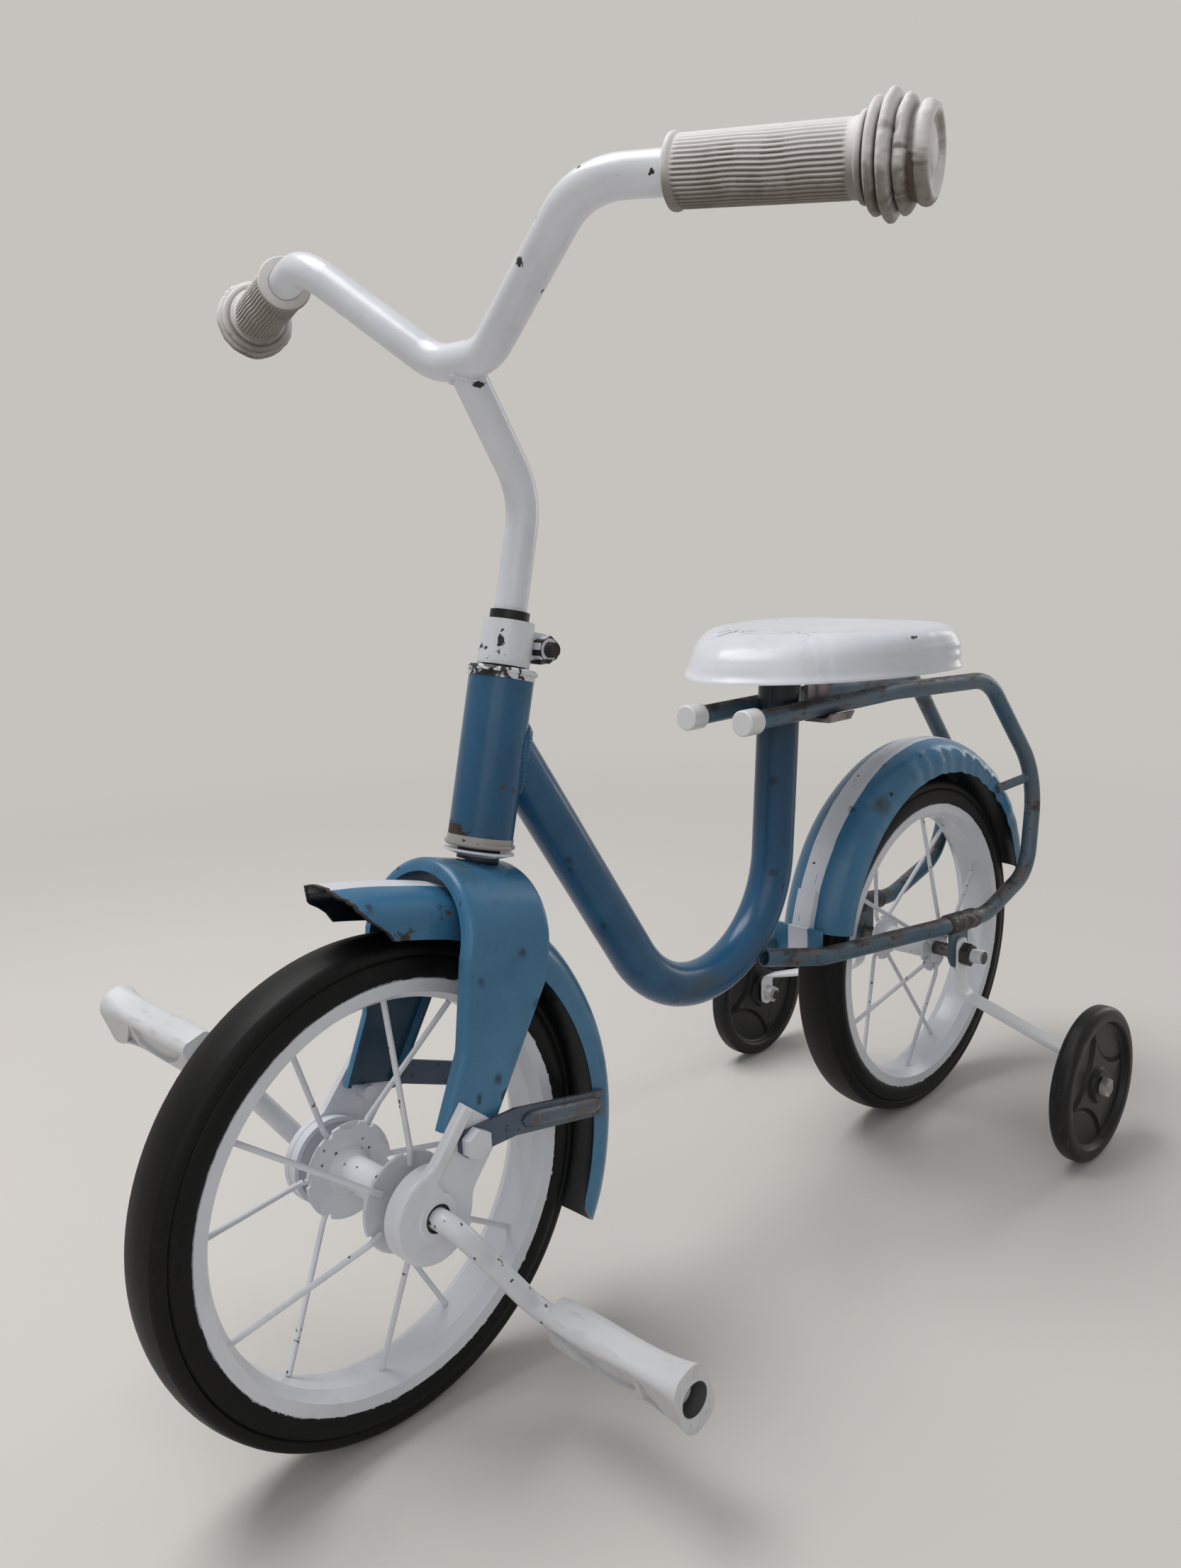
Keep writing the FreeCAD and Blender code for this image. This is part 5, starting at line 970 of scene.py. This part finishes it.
def torn_nose(share, across):
    """The nose's edge slants back from the crown's tip to the skirts."""
    ragged = 0.7 * noise.noise(Vector((across * 0.4, 0, 2)))
    return float(numpy.interp(share, NOSE_SHARES, NOSE_TURNS)) + ragged


def front_relief(length, across):
    edge = abs(across) / FENDER_HALF_WIDTH
    push = 0.3 * noise.noise(Vector((length * 0.025, across * 0.05, 4)))
    return push - 0.5 * edge * bell(length, 262.0, 7.0)


REAR_CENTRE = REAR_HUB + REAR_FENDER_SHIFT * MM
NOSE_REACH = NOSE_LIFT_RADIUS * NOSE_LIFT
fender("rear_fender", REAR_CENTRE, radius=143.0, start=7.5, lift=168.0, reach=0.0, relief=rear_relief)
fender(
    "front_fender", FRONT_HUB, radius=152.0, start=-28.0, lift=75.0, reach=NOSE_REACH, relief=front_relief,
    limit=torn_nose, corner=15.0,
)


# Welds, nuts and threads

SEAM_REACH = 0.35 * MM
WELD_BINS = 40
WELD_SIDES = 10
HEX_COLUMNS = 72
THREAD_COLUMNS = 32
THREAD_ROWS_PER_TURN = 8
AXLE_THREAD = 5.15
AXLE_NUT_FLATS = 15.0
FORK_HEAD_FLATS = 13.6
CLAMP_NUT_FLATS = 12.6
CLAMP_THREAD = 4.1
STABILISER_HEAD_FLATS = 12.1
STABILISER_THREAD = 4.35


def ring_of(points):
    """Points sorted round their middle, the outermost in each direction, evened out."""
    middle, up, across = main_axes(numpy.array(points))
    middle = Vector(middle)
    bins = {}
    for point in points:
        away = point - middle
        angle = math.atan2(away.dot(up), away.dot(across))
        step = int((angle + math.pi) / math.tau * WELD_BINS) % WELD_BINS
        if step not in bins or away.length > (bins[step] - middle).length:
            bins[step] = point
    line = [bins[step] for step in sorted(bins)]
    ahead = line[1:] + line[:1]
    return [(line[step - 1] + line[step] * 2 + ahead[step]) / 4 for step in range(len(line))]


def untwisted(rows):
    """Turn each ring so that its points lie nearest to those of the ring before."""
    for before, row in zip(rows, rows[1:] + rows[:1]):
        count = len(row)
        gaps = []
        for shift in range(count):
            gaps.append(sum((row[(step + shift) % count] - before[step]).length for step in range(count)))
        best = gaps.index(min(gaps))
        row[:] = row[best:] + row[:best]


def weld(name, node, other, radius, back=math.inf):
    """A bead of weld laid along the seam between two pieces of one body, in front of a limit."""
    tree = tree_of(other)
    points = []
    for vertex in NODES[node].data.vertices:
        if vertex.co.y < back and tree.find_nearest(vertex.co, SEAM_REACH)[0] is not None:
            points.append(vertex.co.copy())
    line = ring_of(points)
    fine = []
    for spot, after in zip(line, line[1:] + line[:1]):
        fine += [spot.lerp(after, share) for share in (0.0, 0.25, 0.5, 0.75)]
    rows = []
    for step, spot in enumerate(fine):
        along = (fine[(step + 1) % len(fine)] - fine[step - 1]).normalized()
        side = along.orthogonal().normalized()
        rise = along.cross(side)
        ripple = radius * (1.0 + 0.12 * math.sin(step * 1.9) + 0.25 * noise.noise(spot * 300))
        ring = []
        for angle in around(WELD_SIDES):
            ring.append(spot + (side * math.cos(angle) + rise * math.sin(angle)) * ripple * MM)
        rows.append(ring)
    untwisted(rows)
    add_grid(name, node, rows + rows[:1], sharp=70.0)


def hexagon(name, node, place, flats, low, high, bore=0.0, **settings):
    """A nut or bolt head with its corners chamfered on both faces."""
    corner = flats / math.sqrt(3)
    face = flats * 0.46
    cut = (corner - flats / 2) * 0.75 * 0.58

    def relief(height, radius, angle):
        turn = (angle + math.pi / 6) % (math.pi / 3) - math.pi / 6
        side = flats / 2 / math.cos(turn)
        return min(side, radius) - radius if radius >= flats * 0.45 else 0.0

    rows = [(low, bore), (low, face), (low + cut, corner), (high - cut, corner), (high, face), (high, bore)]
    add_grid(name, node, turned(rows, place, HEX_COLUMNS, relief), **settings)


def thread(name, node, place, radius, low, high, finish="dark_steel", pitch=1.25, depth=0.55):
    """A threaded rod's end, with a chamfered tip."""
    steps = int((high - low) / pitch * THREAD_ROWS_PER_TURN)

    def relief(height, reach, angle):
        wave = (height / pitch - angle / math.tau) % 1.0
        fade = min(1.0, (high - height) / pitch)
        return -depth * (1.0 - abs(2.0 * wave - 1.0)) - (1.0 - fade) * 0.5

    rows = [(low + (high - low) * step / steps, radius) for step in range(steps + 1)]
    rows.append((high, 0.0))
    add_grid(name, node, turned(rows, place, THREAD_COLUMNS, relief), finish=finish)


def box_frame(node, sign):
    """A frame on a piece's middle line with Z towards its own side, and how far out its ends are."""
    low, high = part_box(node)
    middle = (low + high) / 2
    near, far = sorted((abs((low / MM).x), abs((high / MM).x)))
    return axes_at(Vector((0, middle.y, middle.z)), Vector((sign, 0, 0))), near, far


def fasteners():
    axle_end = box_frame("rear_axle", 1.0)[2]
    for side, sign in SIDES:
        node = f"axle_nut_{side}"
        place, near, far = box_frame(node, sign)
        hexagon(f"{node}_hex", node, place, AXLE_NUT_FLATS, near, far, replaces=True)
        thread(f"axle_thread_{side}", "rear_axle", place, AXLE_THREAD, far - 0.5, axle_end, "cup_white")
        node = f"fork_bolt_{side}"
        place, near, far = box_frame(node, sign)
        hexagon(f"{node}_head", node, place, FORK_HEAD_FLATS, far - 5.6, far + 0.05, finish="clamp_white")
        node = f"stabiliser_bolt_{side}"
        place, near, far = box_frame(node, sign)
        hexagon(f"stabiliser_head_{side}", node, place, STABILISER_HEAD_FLATS, far - 4.6, far + 0.05)
        place = axes_at(place.translation, Vector((-sign, 0, 0)))
        thread(f"stabiliser_thread_{side}", node, place, STABILISER_THREAD, -near - 3.0, -near + 0.4)
    place, near, far = box_frame("clamp_bolt", 1.0)
    thread("clamp_thread", "clamp_bolt", place, CLAMP_THREAD, far - 4.2, far + 0.1, pitch=1.0, depth=0.4)
    nut = {"bore": CLAMP_THREAD, "finish": "clamp_white"}
    hexagon("clamp_nut_hex", "clamp_bolt", place, CLAMP_NUT_FLATS, far - 10.05, far - 3.95, **nut)


weld("weld_head", "main_tube", "head_tube", radius=2.7)
weld("weld_stem", "stem", "handlebar", radius=1.6)
for side, _ in SIDES:
    weld(f"weld_loop_{side}", f"side_loop_{side}", "main_tube", radius=1.6, back=0.1)
fasteners()


# Ribs pressed into the fender's stays

RIB_START = Vector((47.4, -199.0, 155.4))
RIB_END = Vector((29.4, -127.0, 133.6))
RIB_STEPS = 30
RIB_COLUMNS = 11
RIB_HALF_WIDTH = 4.4
RIB_HEIGHT = 2.4
RIB_SINK = 0.6


def stay_ribs():
    """A half round rib along each stay, from its bend to the fender, tapered at both ends."""
    for side, sign in SIDES:
        start = mirrored(RIB_START, sign)
        end = mirrored(RIB_END, sign)
        along = (end - start).normalized()
        up = Vector((0, 0, 1))
        up = (up - along * up.dot(along)).normalized()
        out = along.cross(up).normalized()
        out = out if out.x * sign > 0 else -out
        rows = []
        for step in range(RIB_STEPS + 1):
            share = step / RIB_STEPS
            taper = math.sqrt(max(0.0, 1 - (2 * share - 1) ** 8)) * 0.96 + 0.04
            middle = start.lerp(end, share)
            row = []
            for turn in range(RIB_COLUMNS + 1):
                angle = math.pi * turn / RIB_COLUMNS
                rise = RIB_HEIGHT * math.sin(angle) * taper
                row.append((middle + up * (RIB_HALF_WIDTH * math.cos(angle) * taper) + out * rise) * MM)
            for edge in (-1, 1):
                row.append((middle + up * (RIB_HALF_WIDTH * edge * taper) - out * RIB_SINK) * MM)
            rows.append(row)
        add_grid(f"stay_rib_{side}", f"fender_stay_{side}", rows, caps=True, sharp=60.0)


stay_ribs()


# Stabiliser arms and wheels

STRAP_HALF_WIDTH = 6.75
STRAP_HALF_WALL = 1.5
STRAP_SWELL = 0.7
STRAP_POINTS = ((43.6, 12.0), (43.6, -29.5), (135.2, -57.5), (135.2, -81.5))
STRAP_BENDS = (13.0, 9.0)
STRAP_BEND_STEPS = 12
STRAP_STEP = 1.5
STRAP_COLUMNS = 28
STRAP_ROUND = 0.4
WHEEL_COLUMNS = 288
WHEEL_HALF = 7.2
WHEEL_BORE = 4.45
WHEEL_HUB = 11.0
WHEEL_RIM = 45.4
WHEEL_PANEL = 2.6
WHEEL_STAR = 4.3
WHEEL_FACE_END = 48.8
SHOULDER_STEPS = 12
STAR_TIP = 43.5
STAR_WAIST = 19.0
STAR_TURN = 0.2


def rounded_path(points, radii):
    """Places along a bent line whose corners are rounded, with the way it runs at each."""
    corners = [Vector(point) for point in points]
    line = [corners[0]]
    for before, corner, after, radius in zip(corners, corners[1:], corners[2:], radii):
        back = (before - corner).normalized()
        ahead = (after - corner).normalized()
        half = (math.pi - back.angle(ahead)) / 2
        cut = radius * math.tan(half)
        middle = corner + (back + ahead).normalized() * (radius / math.cos(half))
        start = corner + back * cut - middle
        end = corner + ahead * cut - middle
        for turn in range(STRAP_BEND_STEPS + 1):
            line.append(middle + start.lerp(end, turn / STRAP_BEND_STEPS).normalized() * radius)
    line.append(corners[-1])
    places = []
    for low, high in zip(line, line[1:]):
        way = (high - low).normalized()
        pieces = max(1, int((high - low).length / STRAP_STEP))
        places += [(low.lerp(high, piece / pieces), way) for piece in range(pieces)]
    return places + [(line[-1], way)]


def strap_arms():
    """The stabilisers' arms as flat bars with rounded edges, ends and bends."""
    places = rounded_path(STRAP_POINTS, STRAP_BENDS)
    lengths = [0.0]
    for (before, way), (after, other) in zip(places, places[1:]):
        lengths.append(lengths[-1] + (after - before).length)
    whole = lengths[-1]
    for side, sign in SIDES:
        rows = []
        for (spot, way), length in zip(places, lengths):
            end = min(1.0, min(length, whole - length) / STRAP_HALF_WIDTH)
            width = STRAP_HALF_WIDTH * (0.3 + 0.7 * math.sqrt(max(0.0, 1 - (1 - end) ** 2)))
            slope = clamp(min((length - 34.0) / 20.0, (whole - 30.0 - length) / 20.0))
            wall = STRAP_HALF_WALL + STRAP_SWELL * slope
            out = Vector((-way.y, way.x))
            row = []
            for angle in around(STRAP_COLUMNS):
                wide, thick = math.cos(angle), math.sin(angle)
                wide = math.copysign(abs(wide) ** STRAP_ROUND, wide) * width
                thick = math.copysign(abs(thick) ** STRAP_ROUND, thick) * wall
                place = spot + out * thick
                row.append(REAR_HUB + Vector((place.x * sign, wide, place.y)) * MM)
            rows.append(row)
        node = f"stabiliser_arm_{side}"
        add_grid(f"{node}_bar", node, rows, caps=True, replaces=True, sharp=40.0)


def smooth(share):
    return share * share * (3 - 2 * share)


def wheel_face(radius, angle):
    """How far the small wheel's face stands out: hub, star with hollow sides, panels and rim."""
    turn = (angle - STAR_TURN) % (math.pi / 2) - math.pi / 4
    centre = (STAR_TIP ** 2 - STAR_WAIST ** 2) / (math.sqrt(2) * STAR_TIP - 2 * STAR_WAIST)
    gap = math.hypot(radius * math.cos(turn) - centre, radius * math.sin(turn)) - (centre - STAR_WAIST)
    web = WHEEL_PANEL + (WHEEL_STAR - WHEEL_PANEL) * clamp(gap / 0.9) - 0.9 * bell(gap, -0.9, 0.7)
    hub = 1 - clamp((radius - WHEEL_HUB) / 2.2)
    rim = clamp((radius - WHEEL_RIM + 3.2) / 3.2)
    return web + (WHEEL_HALF - web) * max(smooth(hub), smooth(rim))


def small_wheels():
    """The stabilisers' moulded wheels with rounded shoulders and a star between rim and hub."""
    radii = [WHEEL_BORE, 7.0, 9.5, 10.6] + [11.2 + 0.62 * step for step in range(56)]
    radii += [46.4, 47.6, WHEEL_FACE_END]
    turns = around(WHEEL_COLUMNS)
    face = [[(wheel_face(radius, angle), radius, angle) for angle in turns] for radius in radii]
    for step in range(1, SHOULDER_STEPS + 1):
        bend = math.pi / 2 * step / SHOULDER_STEPS
        radius = WHEEL_FACE_END + 5.6 * math.sin(bend)
        out = WHEEL_HALF - 5.0 * (1 - math.cos(bend))
        face.append([(out, radius, angle) for angle in turns])
    for side, sign in SIDES:
        node = f"stabiliser_wheel_{side}"
        low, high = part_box(node)
        middle = (low + high) / 2
        rows = []
        for way, ordered in ((sign, face), (-sign, face[::-1])):
            for row in ordered:
                line = []
                for out, radius, angle in row:
                    spot = Vector((out * way, radius * math.cos(angle), radius * math.sin(angle)))
                    line.append(middle + spot * MM)
                rows.append(line)
        add_grid(f"{node}_moulding", node, rows + rows[:1], replaces=True, sharp=50.0)


strap_arms()
small_wheels()


# The crushed and taped lengths of the side loops over the axle

TAPE_START = 219.0
TAPE_END = 261.0
TAPE_STEPS = 34
TAPE_COLUMNS = 48
TAPE_RADIUS = 6.9
LOOP_RADIUS = 6.0 * MM
LOOP_GUESS = (41.0, 152.0)


def loop_middle(tree, along):
    """The middle of the left loop's tube where it passes a length along the bicycle."""
    guess = Vector((LOOP_GUESS[0] * MM, along * MM, LOOP_GUESS[1] * MM))
    top = tree.ray_cast(guess + Vector((0, 0, 0.03)), Vector((0, 0, -1)))[0]
    height = top.z - LOOP_RADIUS
    side = tree.ray_cast(Vector((guess.x + 0.04, guess.y, height)), Vector((-1, 0, 0)))[0]
    return Vector((side.x - LOOP_RADIUS, guess.y, height))


def tapes():
    tree = tree_of("side_loop_left")
    for side, sign in SIDES:
        rows = []
        for step in range(TAPE_STEPS + 1):
            share = step / TAPE_STEPS
            middle = loop_middle(tree, TAPE_START + (TAPE_END - TAPE_START) * step / TAPE_STEPS)
            taper = min(1.0, share / 0.05, (1 - share) / 0.05)
            row = []
            for angle in around(TAPE_COLUMNS):
                spot = Vector((math.cos(angle), math.sin(angle), share * 4.0 + sign))
                crease = abs(noise.noise(spot * 1.6)) + 0.4 * abs(noise.noise(spot * 3.7))
                fold = 0.8 - 3.0 * max(0.0, 0.35 - crease)
                reach = TAPE_RADIUS - 0.6 * (1 - taper) + fold * taper * 0.7
                away = Vector((math.cos(angle), 0, math.sin(angle))) * reach * MM
                row.append(mirrored(middle + away, sign))
            rows.append(row)
        add_grid(f"loop_tape_{side}", f"side_loop_{side}", rows, caps=True, finish="tape", sharp=60.0)


tapes()


# Camera, floor and light

CAMERA_FOCUS_PX = 1826.4
PHOTO_HEIGHT_PX = 2212
SENSOR_MM = 36.0
CAMERA_PLACE = Vector((0.4991, -0.5924, 0.4420))
CAMERA_AZIMUTH = math.radians(45.21)
CAMERA_ELEVATION = math.radians(11.14)
CAMERA_ROLL = math.radians(-1.98)
FLOOR_COLOUR = linear(212, 207, 202)
FLOOR_LIGHT = linear(216, 211, 206)
FLOOR_SIZE = 30.0
BACKDROP_COLOUR = linear(198, 195, 190)
FILL_COLOUR = (0.96, 0.98, 1.0, 1.0)
FILL_STRENGTH = 0.31


def camera():
    data = bpy.data.cameras.new("camera")
    data.sensor_width = SENSOR_MM
    data.lens = CAMERA_FOCUS_PX / PHOTO_HEIGHT_PX * SENSOR_MM
    data.clip_start = 0.02
    thing = bpy.data.objects.new("camera", data)
    turn = Matrix.Rotation(CAMERA_AZIMUTH, 4, "Z") @ Matrix.Rotation(math.pi / 2 - CAMERA_ELEVATION, 4, "X")
    thing.matrix_world = Matrix.Translation(CAMERA_PLACE) @ turn @ Matrix.Rotation(CAMERA_ROLL, 4, "Z")
    SCENE.collection.objects.link(thing)
    SCENE.camera = thing


def seen(made):
    """A mask for what the camera sees, straight, in gloss or through glass."""
    path = made.add("ShaderNodeLightPath")
    return made.most(path["Is Camera Ray"], path["Is Glossy Ray"], path["Is Transmission Ray"])


def blend(made, output, share, first, second):
    """Send two shaders, mixed by a mask, to the tree's output."""
    mixed = made.add("ShaderNodeMixShader", {0: share, 1: first[0], 2: second[0]})
    made.fill(made.tree.nodes[output], {"Surface": mixed[0]})


def floor():
    """A pale floor that fades into the backdrop's own colour well behind the bicycle."""
    made = material("floor")
    made.finish(made.mix(made.noise(3.0, 3.0), FLOOR_COLOUR, FLOOR_LIGHT), 0.6, specular=0.2)
    glow = made.add("ShaderNodeEmission", {"Color": BACKDROP_COLOUR})
    far = made.step(made.vector("LENGTH", made.place)[1], 0.62, 1.9)
    near = made.tree.nodes["Principled BSDF"].outputs
    blend(made, "Material Output", made.times(far, seen(made)), near, glow)
    bpy.ops.mesh.primitive_plane_add(size=FLOOR_SIZE, location=(0, 0, 0))
    plane = bpy.context.object
    plane.name = "floor"
    plane.data.materials.append(made.owner)


def area_light(name, place, target, size, power):
    data = bpy.data.lights.new(name, "AREA")
    data.shape = "RECTANGLE"
    data.size, data.size_y = size
    data.energy = power
    thing = bpy.data.objects.new(name, data)
    thing.location = place
    thing.rotation_euler = (Vector(target) - Vector(place)).to_track_quat("-Z", "Y").to_euler()
    thing.visible_camera = False
    SCENE.collection.objects.link(thing)


def world():
    """An even soft fill, and the backdrop's colour wherever it is seen."""
    made = Nodes(bpy.data.worlds.new("studio"))
    shown = made.tree.nodes["Background"]
    made.fill(shown, {"Color": BACKDROP_COLOUR, "Strength": 1.0})
    fill = made.add("ShaderNodeBackground", {"Color": FILL_COLOUR, "Strength": FILL_STRENGTH})
    blend(made, "World Output", seen(made), fill, shown.outputs)
    SCENE.world = made.owner


camera()
floor()
area_light("ceiling", (-0.7, -0.5, 2.3), (0.0, 0.0, 0.2), (1.6, 1.1), 37.0)
area_light("window", (1.8, -1.9, 1.5), (0.0, 0.0, 0.25), (2.2, 1.9), 12.0)
area_light("back", (0.25, 2.3, 0.9), (0.0, 0.0, 0.25), (0.5, 1.5), 7.5)
world()
SCENE.view_settings.view_transform = "Standard"
